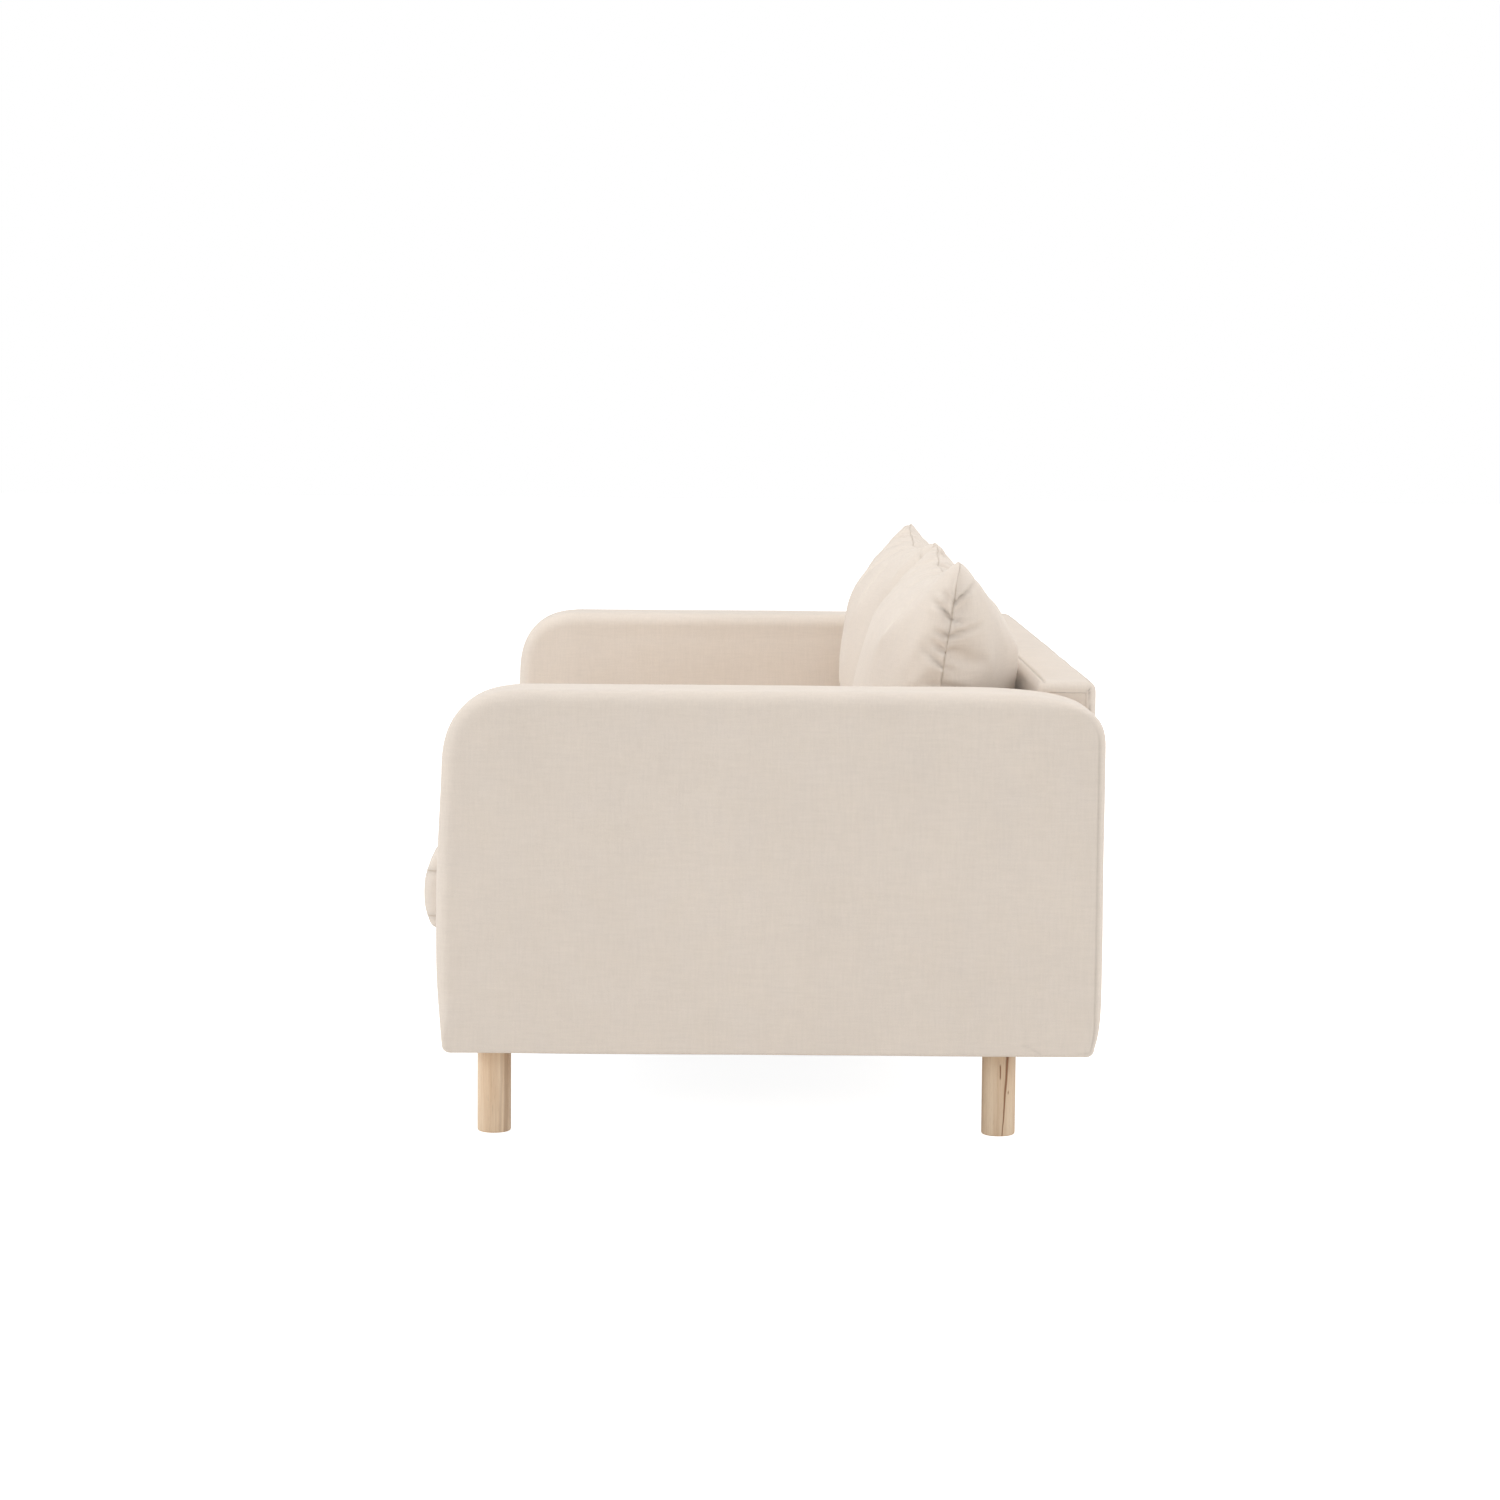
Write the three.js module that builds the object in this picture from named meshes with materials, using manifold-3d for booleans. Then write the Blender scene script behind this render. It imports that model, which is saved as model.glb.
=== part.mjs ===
// A two-seat sofa: two panel arms on turned wooden legs, a sprung seat base and a padded back between
// them, and four loose cushions with zipped covers.
// Millimetres, +Z up. X runs along the sofa (+X is the sitter's left), the front faces -Y, and the
// origin is on the floor under the middle of the whole sofa.
import * as THREE from "three";
import { mergeVertices } from "three/addons/utils/BufferGeometryUtils.js";
import Module from "manifold-3d";

const wasm = await Module();
wasm.setup();

// ---------------------------------------------------------------- driving dimensions

const SOFA_WIDTH = 1900; // over both arms
const SOFA_DEPTH = 880; // front to rear of the arms
const ARM_WIDTH = 140;
const ARM_TOP = 597;
const UNDERSIDE = 116; // height of the upholstered body over the floor
const PADDING = 20; // foam and fabric over the timber
const EDGE_RADIUS = 20; // of the arms' upholstered edges

const BACK_TOP = 602;
const BACK_TOP_DEPTH = 78; // front to rear at the top
const BACK_FOOT_DEPTH = 140; // front to rear at the underside
const BACK_CORNER = 14;

const SEAT_BOTTOM = 250; // underside of the seat cushions
const SEAT_HEIGHT = 140; // of a seat cushion, before its crown
const SEAT_CROWN = 18;
const SEAT_OVERHANG = 27; // of the seat cushions past the arms' fronts
const SEAT_REAR = 300; // rear end of the seat cushions

const BACK_CUSHION_FOOT = [200, 397]; // [y, z] of its bottom seam
const BACK_CUSHION_HEAD = [256, 757]; // [y, z] of its top seam
const BACK_CUSHION_THICK = 200;

const LEG_RADIUS = 22.5;
const LEG_FRONT_INSET = 74; // leg axis from the arm's front
const LEG_REAR_INSET = 130; // leg axis from the arm's rear
const LEG_THREAD = 26; // how far a leg's stud reaches up into the arm
const WASHER_THICK = 1.4;

const TIMBER = 25; // thickness of the frame's rails and posts
const SPRINGS_PER_SEAT = 3;
const STUD_RADIUS = 4; // of every M8 bolt and stud
const STUD_GRIP = 30; // how deep a stud or bolt goes into the timber
const HOLE_DEPTH = 32; // of the holes that take studs and bolts
const TAPPED_CLEARANCE = 0.6; // round a stud or bolt in its threaded hole
const PASSING_CLEARANCE = 1; // round a bolt in a hole it passes through
const GAP = 0.5; // between fixed neighbours
const FACE_GAP = 0.3; // between faces that bear on each other
const OVERCUT = 5; // how far a cutting tool stands out of the face it cuts
const CUSHION_GAP = 2; // from a cushion to an arm, and half of it between cushions

// ---------------------------------------------------------------- derived places

const ARM_OUTER = SOFA_WIDTH / 2;
const ARM_INNER = ARM_OUTER - ARM_WIDTH;
const FRONT = -SOFA_DEPTH / 2;
const REAR = SOFA_DEPTH / 2;
const SIDES = { left: 1, right: -1 };
const LEG_TOP = UNDERSIDE - WASHER_THICK - 2 * FACE_GAP;

const BORDER_FRONT = FRONT + 10; // the seat base's front stands a little behind the arms
const BASE_HALF = ARM_INNER - 2;
const RAIL_BOTTOM = UNDERSIDE + 8;
const RAIL_TOP = 228;
const FRONT_RAIL = BORDER_FRONT + PADDING + TIMBER; // rear face of the base's front rail
const REAR_RAIL = 263; // front face of the base's rear rail
const SPRING_BOTTOM = RAIL_TOP + GAP;
const SPRING_WIRE = 4;
const DECK_BOTTOM = SPRING_BOTTOM + SPRING_WIRE + GAP;
const DECK_TOP = SEAT_BOTTOM - 3;
const ARM_RAIL_HEIGHT = 45; // of an arm's bottom rail, which takes the leg studs and arm bolts
const BOLT_HEIGHT = 140;

// ---------------------------------------------------------------- materials

function cloth(colour) {
  return new THREE.MeshStandardMaterial({ color: colour, roughness: 0.95, metalness: 0 });
}

const fabric = cloth(0xe0d3c5);
const cushionFabric = cloth(0xe9e1d9);
const foam = cloth(0xf1e6c8);
const felt = cloth(0xb9b4ab);
const lining = cloth(0x2b2a29);
const webbing = cloth(0x4a4540);
const legWood = new THREE.MeshStandardMaterial({ color: 0xdcbf9c, roughness: 0.55, metalness: 0 });
const frameWood = new THREE.MeshStandardMaterial({ color: 0xc9a97c, roughness: 0.8, metalness: 0 });
const steel = new THREE.MeshStandardMaterial({ color: 0xa9abad, roughness: 0.35, metalness: 1 });
const plastic = new THREE.MeshStandardMaterial({ color: 0x1d1c1b, roughness: 0.6, metalness: 0 });

// ---------------------------------------------------------------- solids

function solidOf(geometry) {
  const bare = geometry.clone();
  bare.deleteAttribute("normal");
  bare.deleteAttribute("uv");
  const merged = mergeVertices(bare, 1e-3);
  const vertProperties = new Float32Array(merged.attributes.position.array);
  const triVerts = new Uint32Array(merged.index.array);
  return new wasm.Manifold(new wasm.Mesh({ numProp: 3, vertProperties, triVerts }));
}

function geometryOf(solid) {
  const mesh = solid.getMesh();
  const geometry = new THREE.BufferGeometry();
  geometry.setAttribute("position", new THREE.BufferAttribute(mesh.vertProperties, 3));
  geometry.setIndex(new THREE.BufferAttribute(mesh.triVerts, 1));
  geometry.computeVertexNormals();
  return geometry;
}

function cut(geometry, ...tools) {
  let solid = solidOf(geometry);
  for (const tool of tools) solid = solid.subtract(solidOf(tool));
  return geometryOf(solid);
}

function joined(first, ...others) {
  let solid = solidOf(first);
  for (const other of others) solid = solid.add(solidOf(other));
  return geometryOf(solid);
}

// A box between two corners.
function block(low, high) {
  const size = high.map((value, i) => value - low[i]);
  const middle = high.map((value, i) => (value + low[i]) / 2);
  return new THREE.BoxGeometry(...size).translate(...middle);
}

// A round bar along X or Z between two places on its axis; centre is its other two coordinates.
function bar(radius, axis, from, to, centre, sides = 12) {
  const geometry = new THREE.CylinderGeometry(radius, radius, to - from, sides);
  if (axis === "x") {
    return geometry.rotateZ(-Math.PI / 2).translate((from + to) / 2, centre[0], centre[1]);
  }
  return geometry.rotateX(Math.PI / 2).translate(centre[0], centre[1], (from + to) / 2);
}

// A closed skin through outlines in the Y-Z plane at rising places along X, with flat ends.
function loft(stations) {
  const count = stations[0].outline.length;
  const positions = [];
  const index = [];
  for (const { x, outline } of stations) {
    for (const point of outline) positions.push(x, point.x, point.y);
  }
  for (let s = 0; s + 1 < stations.length; s++) {
    for (let i = 0; i < count; i++) {
      const a = s * count + i;
      const b = s * count + ((i + 1) % count);
      index.push(a, b, b + count, a, b + count, a + count);
    }
  }
  const last = (stations.length - 1) * count;
  for (const [a, b, c] of THREE.ShapeUtils.triangulateShape(stations[0].outline, [])) {
    index.push(a, c, b);
  }
  for (const [a, b, c] of THREE.ShapeUtils.triangulateShape(stations.at(-1).outline, [])) {
    index.push(last + a, last + b, last + c);
  }
  const geometry = new THREE.BufferGeometry();
  geometry.setAttribute("position", new THREE.Float32BufferAttribute(positions, 3));
  geometry.setIndex(index);
  geometry.computeVertexNormals();
  return geometry;
}

// ---------------------------------------------------------------- arms

// The arm's side view, shrunk all round by a margin: a soft shoulder at the front, a tighter one at
// the rear, and a front that leans back a little and tucks under at its foot.
function armOutline(margin, foot) {
  const front = FRONT + margin;
  const rear = REAR - margin;
  const top = ARM_TOP - margin;
  const lean = 7;
  const frontReach = 110 - margin;
  const rearReach = 90 - margin;
  const shape = new THREE.Shape();
  shape.moveTo(front + 14, foot);
  shape.lineTo(rear - 6, foot);
  shape.lineTo(rear, foot + 30);
  shape.lineTo(rear, top - rearReach);
  shape.bezierCurveTo(rear, top - 0.3 * rearReach, rear - 0.2 * rearReach, top, rear - 1.2 * rearReach, top);
  shape.lineTo(front + lean + frontReach, top);
  shape.bezierCurveTo(
    front + lean + 0.3 * frontReach,
    top,
    front + lean,
    top - 0.3 * frontReach,
    front + lean,
    top - frontReach,
  );
  shape.lineTo(front, UNDERSIDE + 140);
  shape.lineTo(front + 5, foot + 25);
  return shape.getPoints(6);
}

// Foam and fabric round the whole arm, open underneath where the timber goes in.
function armCover() {
  const rounding = [Math.PI / 2, Math.PI / 4, 0];
  const edge = rounding.map((angle) => ({
    along: EDGE_RADIUS * (1 - Math.sin(angle)),
    outline: armOutline(EDGE_RADIUS * (1 - Math.cos(angle)), UNDERSIDE),
  }));
  const inner = edge.map(({ along, outline }) => ({ x: ARM_INNER + along, outline }));
  const outer = edge.map(({ along, outline }) => ({ x: ARM_OUTER - along, outline }));
  const body = loft([...inner, ...outer.reverse()]);
  const hollow = armOutline(PADDING, UNDERSIDE - OVERCUT);
  const cavity = loft([
    { x: ARM_INNER + PADDING, outline: hollow },
    { x: ARM_OUTER - PADDING, outline: hollow },
  ]);
  const boltHoles = boltPlaces().map((y) =>
    bar(
      STUD_RADIUS + PASSING_CLEARANCE,
      "x",
      ARM_INNER - OVERCUT,
      ARM_INNER + PADDING + OVERCUT,
      [y, BOLT_HEIGHT],
    ),
  );
  return cut(body, cavity, ...boltHoles);
}

function boltPlaces() {
  return [FRONT + 160, REAR - 220];
}

function legPlaces() {
  return { front: FRONT + LEG_FRONT_INSET, rear: REAR - LEG_REAR_INSET };
}

const ARM_FRAME_LOW = ARM_INNER + PADDING + GAP;
const ARM_FRAME_HIGH = ARM_OUTER - PADDING - GAP;
const ARM_FRAME_FRONT = FRONT + PADDING + 16;
const ARM_FRAME_REAR = REAR - PADDING - 8;
const ARM_RAIL_TOP = UNDERSIDE + ARM_RAIL_HEIGHT;
const ARM_HEAD_BOTTOM = ARM_TOP - PADDING - 6 - TIMBER;
const ARM_HEAD_FRONT = FRONT + 118;
const ARM_HEAD_REAR = REAR - 100;
const LEG_X = (ARM_INNER + ARM_OUTER) / 2;

// The beam under the arm: bored from below for the leg studs and from inside for the arm bolts.
function armBottomRail() {
  const holeRadius = STUD_RADIUS + TAPPED_CLEARANCE;
  const studHoles = Object.values(legPlaces()).map((y) =>
    bar(holeRadius, "z", UNDERSIDE - OVERCUT, UNDERSIDE + HOLE_DEPTH, [LEG_X, y]),
  );
  const boltHoles = boltPlaces().map((y) =>
    bar(holeRadius, "x", ARM_FRAME_LOW - OVERCUT, ARM_FRAME_LOW + HOLE_DEPTH, [y, BOLT_HEIGHT]),
  );
  const beam = block(
    [ARM_FRAME_LOW, ARM_FRAME_FRONT, UNDERSIDE],
    [ARM_FRAME_HIGH, ARM_FRAME_REAR, ARM_RAIL_TOP],
  );
  return cut(beam, ...studHoles, ...boltHoles);
}

function armTopRail() {
  return block(
    [ARM_FRAME_LOW, ARM_HEAD_FRONT, ARM_HEAD_BOTTOM],
    [ARM_FRAME_HIGH, ARM_HEAD_REAR, ARM_HEAD_BOTTOM + TIMBER],
  );
}

// A post from the beam up to the top rail, set back to stay inside the shoulder above it.
function armPost(front) {
  return block(
    [ARM_FRAME_LOW, front, ARM_RAIL_TOP + GAP],
    [ARM_FRAME_HIGH, front + TIMBER, ARM_HEAD_BOTTOM - GAP],
  );
}

// A headed M8 bolt lying along X, from inside the seat base into the arm's beam.
function armBolt(y) {
  const headFace = BASE_HALF - GAP - TIMBER - GAP;
  const headRadius = 6.5;
  const headHeight = 5.5;
  const head = bar(headRadius, "x", headFace - headHeight, headFace, [y, BOLT_HEIGHT], 6);
  const shank = bar(STUD_RADIUS, "x", headFace - 1, ARM_FRAME_LOW + STUD_GRIP, [y, BOLT_HEIGHT]);
  return joined(head, shank);
}

// ---------------------------------------------------------------- seat base

// A C-shaped wrap of foam and fabric over the front rail's face, top and foot.
function frontBorder() {
  const railFront = FRONT_RAIL - TIMBER - GAP;
  const lip = FRONT_RAIL - 14;
  const top = DECK_TOP;
  const shape = new THREE.Shape();
  shape.moveTo(lip, UNDERSIDE);
  shape.lineTo(lip, RAIL_BOTTOM - GAP);
  shape.lineTo(railFront, RAIL_BOTTOM - GAP);
  shape.lineTo(railFront, RAIL_TOP + GAP);
  shape.lineTo(lip, RAIL_TOP + GAP);
  shape.lineTo(lip, top);
  shape.lineTo(BORDER_FRONT + 14, top);
  shape.quadraticCurveTo(BORDER_FRONT, top, BORDER_FRONT, top - 14);
  shape.lineTo(BORDER_FRONT, UNDERSIDE + 10);
  shape.quadraticCurveTo(BORDER_FRONT, UNDERSIDE, BORDER_FRONT + 10, UNDERSIDE);
  const outline = shape.getPoints(4);
  if (THREE.ShapeUtils.isClockWise(outline)) outline.reverse();
  return loft([
    { x: -BASE_HALF, outline },
    { x: BASE_HALF, outline },
  ]);
}

function crossRail(front) {
  const half = BASE_HALF - GAP;
  return block([-half, front, RAIL_BOTTOM], [half, front + TIMBER, RAIL_TOP]);
}

// An end rail of the base, for the +X side, bored for the arm bolts.
function endRail() {
  const outer = BASE_HALF - GAP;
  const rail = block([outer - TIMBER, FRONT_RAIL + GAP, RAIL_BOTTOM], [outer, REAR_RAIL - GAP, RAIL_TOP]);
  const holes = boltPlaces().map((y) =>
    bar(
      STUD_RADIUS + PASSING_CLEARANCE,
      "x",
      outer - TIMBER - OVERCUT,
      outer + OVERCUT,
      [y, BOLT_HEIGHT],
    ),
  );
  return cut(rail, ...holes);
}

function centreRail() {
  const half = TIMBER / 2;
  return block([-half, FRONT_RAIL + GAP, RAIL_BOTTOM], [half, REAR_RAIL - GAP, RAIL_TOP - 30]);
}

// A zigzag spring lying from the front rail to the rear rail.
function zigzagSpring(x) {
  const swing = 24;
  const bends = 26;
  const from = FRONT_RAIL - 12;
  const to = REAR_RAIL + 14;
  const step = (to - from) / bends;
  const nearSide = [];
  const farSide = [];
  for (let i = 0; i <= bends; i++) {
    const across = i === 0 || i === bends ? 0 : swing * (i % 2 ? 1 : -1);
    nearSide.push(new THREE.Vector2(x + across - SPRING_WIRE, from + i * step));
    farSide.push(new THREE.Vector2(x + across + SPRING_WIRE, from + i * step));
  }
  const shape = new THREE.Shape([...nearSide, ...farSide.reverse()]);
  const geometry = new THREE.ExtrudeGeometry(shape, { depth: SPRING_WIRE, bevelEnabled: false });
  return geometry.translate(0, 0, SPRING_BOTTOM);
}

function springPlaces() {
  const pitch = (BASE_HALF - 2 * TIMBER) / SPRINGS_PER_SEAT;
  const places = [];
  for (const side of Object.values(SIDES)) {
    for (let i = 0; i < SPRINGS_PER_SEAT; i++) places.push(side * (TIMBER + (i + 0.5) * pitch));
  }
  return places.sort((a, b) => a - b);
}

// The padded deck over the springs, which the seat cushions lie on.
function seatDeck() {
  const half = BASE_HALF - GAP;
  return block([-half, FRONT_RAIL - 14 + GAP, DECK_BOTTOM], [half, REAR_RAIL + TIMBER, DECK_TOP]);
}

function dustCover() {
  const half = BASE_HALF - GAP;
  return block([-half, FRONT_RAIL - 13, RAIL_BOTTOM - 3], [half, REAR_RAIL + TIMBER, RAIL_BOTTOM - GAP]);
}

// ---------------------------------------------------------------- back

// The back's side view: upright behind, with an inner face that leans back.
function backOutline() {
  const topFront = REAR - BACK_TOP_DEPTH;
  const shape = new THREE.Shape();
  shape.moveTo(REAR - BACK_FOOT_DEPTH, UNDERSIDE);
  shape.lineTo(REAR, UNDERSIDE);
  shape.lineTo(REAR, BACK_TOP - BACK_CORNER);
  shape.quadraticCurveTo(REAR, BACK_TOP, REAR - BACK_CORNER, BACK_TOP);
  shape.lineTo(topFront + BACK_CORNER, BACK_TOP);
  shape.quadraticCurveTo(topFront, BACK_TOP, topFront - 1, BACK_TOP - BACK_CORNER);
  return shape.getPoints(4);
}

// How far forward the back's inner face stands at a height.
function backFace(z) {
  const rise = (z - UNDERSIDE) / (BACK_TOP - BACK_CORNER - UNDERSIDE);
  return REAR - BACK_FOOT_DEPTH + rise * (BACK_FOOT_DEPTH - BACK_TOP_DEPTH - 1);
}

const BACK_FRAME_REAR = REAR - PADDING - GAP;
const BACK_FRAME_HALF = BASE_HALF - PADDING - GAP;
const BACK_HEAD = BACK_TOP - PADDING - GAP;

function backPanelCover() {
  const outline = backOutline();
  const body = loft([
    { x: -BASE_HALF, outline },
    { x: BASE_HALF, outline },
  ]);
  const hollow = [
    new THREE.Vector2(backFace(UNDERSIDE - OVERCUT) + PADDING, UNDERSIDE - OVERCUT),
    new THREE.Vector2(REAR - PADDING, UNDERSIDE - OVERCUT),
    new THREE.Vector2(REAR - PADDING, BACK_TOP - PADDING),
    new THREE.Vector2(backFace(BACK_TOP - PADDING) + PADDING, BACK_TOP - PADDING),
  ];
  const cavity = loft([
    { x: -BASE_HALF + PADDING, outline: hollow },
    { x: BASE_HALF - PADDING, outline: hollow },
  ]);
  return cut(body, cavity);
}

// A rail along the back, as deep as fits between its foot's inner face and the rear.
function backRail(bottom, height) {
  const front = backFace(bottom + height) + PADDING + GAP;
  return block([-BACK_FRAME_HALF, front, bottom], [BACK_FRAME_HALF, BACK_FRAME_REAR, bottom + height]);
}

const BACK_FOOT_RAIL = 60; // height of the back's bottom rail
const BACK_HEAD_RAIL = 40; // height of the back's top rail
const WEBBING_RECESS = 4; // the stiles stand this far behind the webbing's plane

// A leaning stile between the back's two rails.
function backStile(centre) {
  const bottom = UNDERSIDE + BACK_FOOT_RAIL + GAP;
  const top = BACK_HEAD - BACK_HEAD_RAIL - GAP;
  const clear = PADDING + GAP + WEBBING_RECESS;
  const outline = [
    new THREE.Vector2(backFace(bottom) + clear, bottom),
    new THREE.Vector2(BACK_FRAME_REAR, bottom),
    new THREE.Vector2(BACK_FRAME_REAR, top),
    new THREE.Vector2(backFace(top) + clear, top),
  ];
  return loft([
    { x: centre - TIMBER / 2, outline },
    { x: centre + TIMBER / 2, outline },
  ]);
}

// An elastic strap across the stiles, leaning with the back's inner face.
function backWebbing(bottom) {
  const top = bottom + 60;
  const clear = PADDING + GAP;
  const thick = WEBBING_RECESS - 2 * GAP;
  const outline = [
    new THREE.Vector2(backFace(bottom) + clear, bottom),
    new THREE.Vector2(backFace(bottom) + clear + thick, bottom),
    new THREE.Vector2(backFace(top) + clear + thick, top),
    new THREE.Vector2(backFace(top) + clear, top),
  ];
  return loft([
    { x: -BACK_FRAME_HALF, outline },
    { x: BACK_FRAME_HALF, outline },
  ]);
}

// ---------------------------------------------------------------- legs

// A turned leg with eased edges, bored from the top for its stud.
function woodenLeg(x, y) {
  const ease = 2.5;
  const bore = STUD_RADIUS + FACE_GAP;
  const profile = [
    new THREE.Vector2(0, 0),
    new THREE.Vector2(LEG_RADIUS - ease, 0),
    new THREE.Vector2(LEG_RADIUS, ease),
    new THREE.Vector2(LEG_RADIUS, LEG_TOP),
    new THREE.Vector2(bore, LEG_TOP),
    new THREE.Vector2(bore, LEG_TOP - HOLE_DEPTH),
    new THREE.Vector2(0, LEG_TOP - HOLE_DEPTH),
  ];
  return new THREE.LatheGeometry(profile, 20).rotateX(Math.PI / 2).translate(x, y, 0);
}

// The threaded stud that stands out of the leg and screws up into the arm's beam.
function legStud(x, y) {
  return bar(STUD_RADIUS, "z", LEG_TOP - STUD_GRIP, UNDERSIDE + LEG_THREAD, [x, y]);
}

// The plastic washer between a leg and the arm.
function legWasher(x, y) {
  const bottom = LEG_TOP + FACE_GAP;
  const inner = STUD_RADIUS + GAP;
  const outer = LEG_RADIUS - 4;
  const profile = [
    new THREE.Vector2(inner, bottom),
    new THREE.Vector2(outer, bottom),
    new THREE.Vector2(outer, bottom + WASHER_THICK),
    new THREE.Vector2(inner, bottom + WASHER_THICK),
    new THREE.Vector2(inner, bottom),
  ];
  return new THREE.LatheGeometry(profile, 16).rotateX(Math.PI / 2).translate(x, y, 0);
}

// ---------------------------------------------------------------- cushions

const CUSHION_INNER = CUSHION_GAP / 2;
const CUSHION_OUTER = ARM_INNER - CUSHION_GAP;
const CUSHION_CENTRE = (CUSHION_INNER + CUSHION_OUTER) / 2;
const CUSHION_HALF = (CUSHION_OUTER - CUSHION_INNER) / 2;
const SEAT_FRONT = FRONT - SEAT_OVERHANG;
const ZIP_HALF = 310; // half the length of a cover's zip
const ZIP_WIDTH = 4; // of the opening in a cover
const BACK_ZIP_SETBACK = 36; // of a back cushion's zip behind its bottom seam
const SKIN = 12; // thickness of a cushion cover with its fibre wrap

// A point of a superellipse: square-shouldered where the power is high.
function squareRound(angle, halfX, halfY, power) {
  const swell = (value) => Math.sign(value) * Math.abs(value) ** (2 / power);
  return new THREE.Vector2(halfX * swell(Math.cos(angle)), halfY * swell(Math.sin(angle)));
}

// How full a cushion is at a place from its middle (0) to its end (1).
function fullness(place, power, least) {
  return Math.max((1 - place ** power) ** (1 / power), least);
}

const CUSHION_STATIONS = [-1, -0.97, -0.88, -0.6, 0, 0.6, 0.88, 0.97, 1];

// A boxed seat cushion, shrunk by a wall thickness: flat below, crowned on top.
function seatCushionSolid(wall, points) {
  const halfDepth = (SEAT_REAR - SEAT_FRONT) / 2 - wall;
  const halfHeight = SEAT_HEIGHT / 2 - wall;
  const middle = new THREE.Vector2((SEAT_REAR + SEAT_FRONT) / 2, SEAT_BOTTOM + SEAT_HEIGHT / 2);
  const stations = CUSHION_STATIONS.map((place) => {
    const full = fullness(Math.abs(place), 7, 0.6);
    const outline = [];
    for (let i = 0; i < points; i++) {
      const point = squareRound((2 * Math.PI * i) / points, halfDepth, halfHeight * full, 3.6);
      const rise = point.y > 0 ? 1 - (point.x / halfDepth) ** 2 : 0;
      point.y += SEAT_CROWN * rise * full;
      outline.push(point.add(middle));
    }
    return { x: CUSHION_CENTRE + place * (CUSHION_HALF - wall), outline };
  });
  return loft(stations);
}

// A knife-edged back cushion, shrunk by a wall thickness: thick in the middle, leaning on the back.
function backCushionSolid(wall, points) {
  const foot = new THREE.Vector2(...BACK_CUSHION_FOOT);
  const head = new THREE.Vector2(...BACK_CUSHION_HEAD);
  const middle = foot.clone().add(head).multiplyScalar(0.5);
  const lean = head.clone().sub(foot).angle();
  const halfHeight = foot.distanceTo(head) / 2 - wall;
  const halfThick = BACK_CUSHION_THICK / 2 - wall;
  const stations = CUSHION_STATIONS.map((place) => {
    const full = fullness(Math.abs(place), 4, 0.45);
    const outline = [];
    for (let i = 0; i < points; i++) {
      const point = squareRound((2 * Math.PI * i) / points, halfHeight, halfThick * full, 2.3);
      outline.push(point.rotateAround(new THREE.Vector2(), lean).add(middle));
    }
    return { x: CUSHION_CENTRE + place * (CUSHION_HALF - wall), outline };
  });
  return loft(stations);
}

// A cushion's cover: its skin, left open along the zip.
function cushionCover(solid, zipOpening) {
  return cut(solid(0, 24), solid(SKIN, 16), zipOpening);
}

function seatZipOpening() {
  const z = SEAT_BOTTOM + SEAT_HEIGHT / 2;
  return block(
    [CUSHION_CENTRE - ZIP_HALF, SEAT_REAR - SKIN - 2 * OVERCUT, z - ZIP_WIDTH / 2],
    [CUSHION_CENTRE + ZIP_HALF, SEAT_REAR + OVERCUT, z + ZIP_WIDTH / 2],
  );
}

function backZipOpening() {
  const y = BACK_CUSHION_FOOT[0] + BACK_ZIP_SETBACK;
  const z = BACK_CUSHION_FOOT[1];
  return block(
    [CUSHION_CENTRE - ZIP_HALF, y - ZIP_WIDTH / 2, z - 2 * OVERCUT],
    [CUSHION_CENTRE + ZIP_HALF, y + ZIP_WIDTH / 2, z + SKIN + 2 * OVERCUT],
  );
}

// A zip slider with its pull tab, on a zip that runs along X; the tab hangs down from the slider.
function zipSlider(y, z, tabDrop) {
  const x = CUSHION_CENTRE - ZIP_HALF + 8;
  const body = block([x - 5, y, z - 4], [x + 5, y + 4, z + 4]);
  const tab = block([x - 2.5, y + 2, z - tabDrop], [x + 2.5, y + 3.5, z + 1]);
  return joined(body, tab);
}

// ---------------------------------------------------------------- assembly

const sofa = new THREE.Group();
// The arms' middle is not the sofa's: the seat cushions reach further forward than the arms.
sofa.position.y = SEAT_OVERHANG / 2;

function add(name, geometry, material) {
  const mesh = new THREE.Mesh(geometry, material);
  mesh.name = name;
  sofa.add(mesh);
  return mesh;
}

// A piece modelled on the +X side, placed there or turned over to the -X side.
function addOnSide(side, name, geometry, material) {
  return add(name, SIDES[side] > 0 ? geometry : flipped(geometry), material);
}

function flipped(geometry) {
  const mirrored = geometry.index ? geometry.toNonIndexed() : geometry.clone();
  mirrored.scale(-1, 1, 1);
  const place = mirrored.attributes.position;
  for (let i = 0; i < place.count; i += 3) {
    const b = [place.getX(i + 1), place.getY(i + 1), place.getZ(i + 1)];
    place.setXYZ(i + 1, place.getX(i + 2), place.getY(i + 2), place.getZ(i + 2));
    place.setXYZ(i + 2, ...b);
  }
  mirrored.computeVertexNormals();
  return mirrored;
}

function addBase() {
  add("base_front_border", frontBorder(), fabric);
  add("base_front_rail", crossRail(FRONT_RAIL - TIMBER), frameWood);
  add("base_rear_rail", crossRail(REAR_RAIL), frameWood);
  add("base_centre_rail", centreRail(), frameWood);
  for (const side of Object.keys(SIDES)) addOnSide(side, `base_${side}_rail`, endRail(), frameWood);
  springPlaces().forEach((x, i) => add(`seat_spring_${i + 1}`, zigzagSpring(x), steel));
  add("seat_deck", seatDeck(), felt);
  add("base_dust_cover", dustCover(), lining);
}

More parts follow.
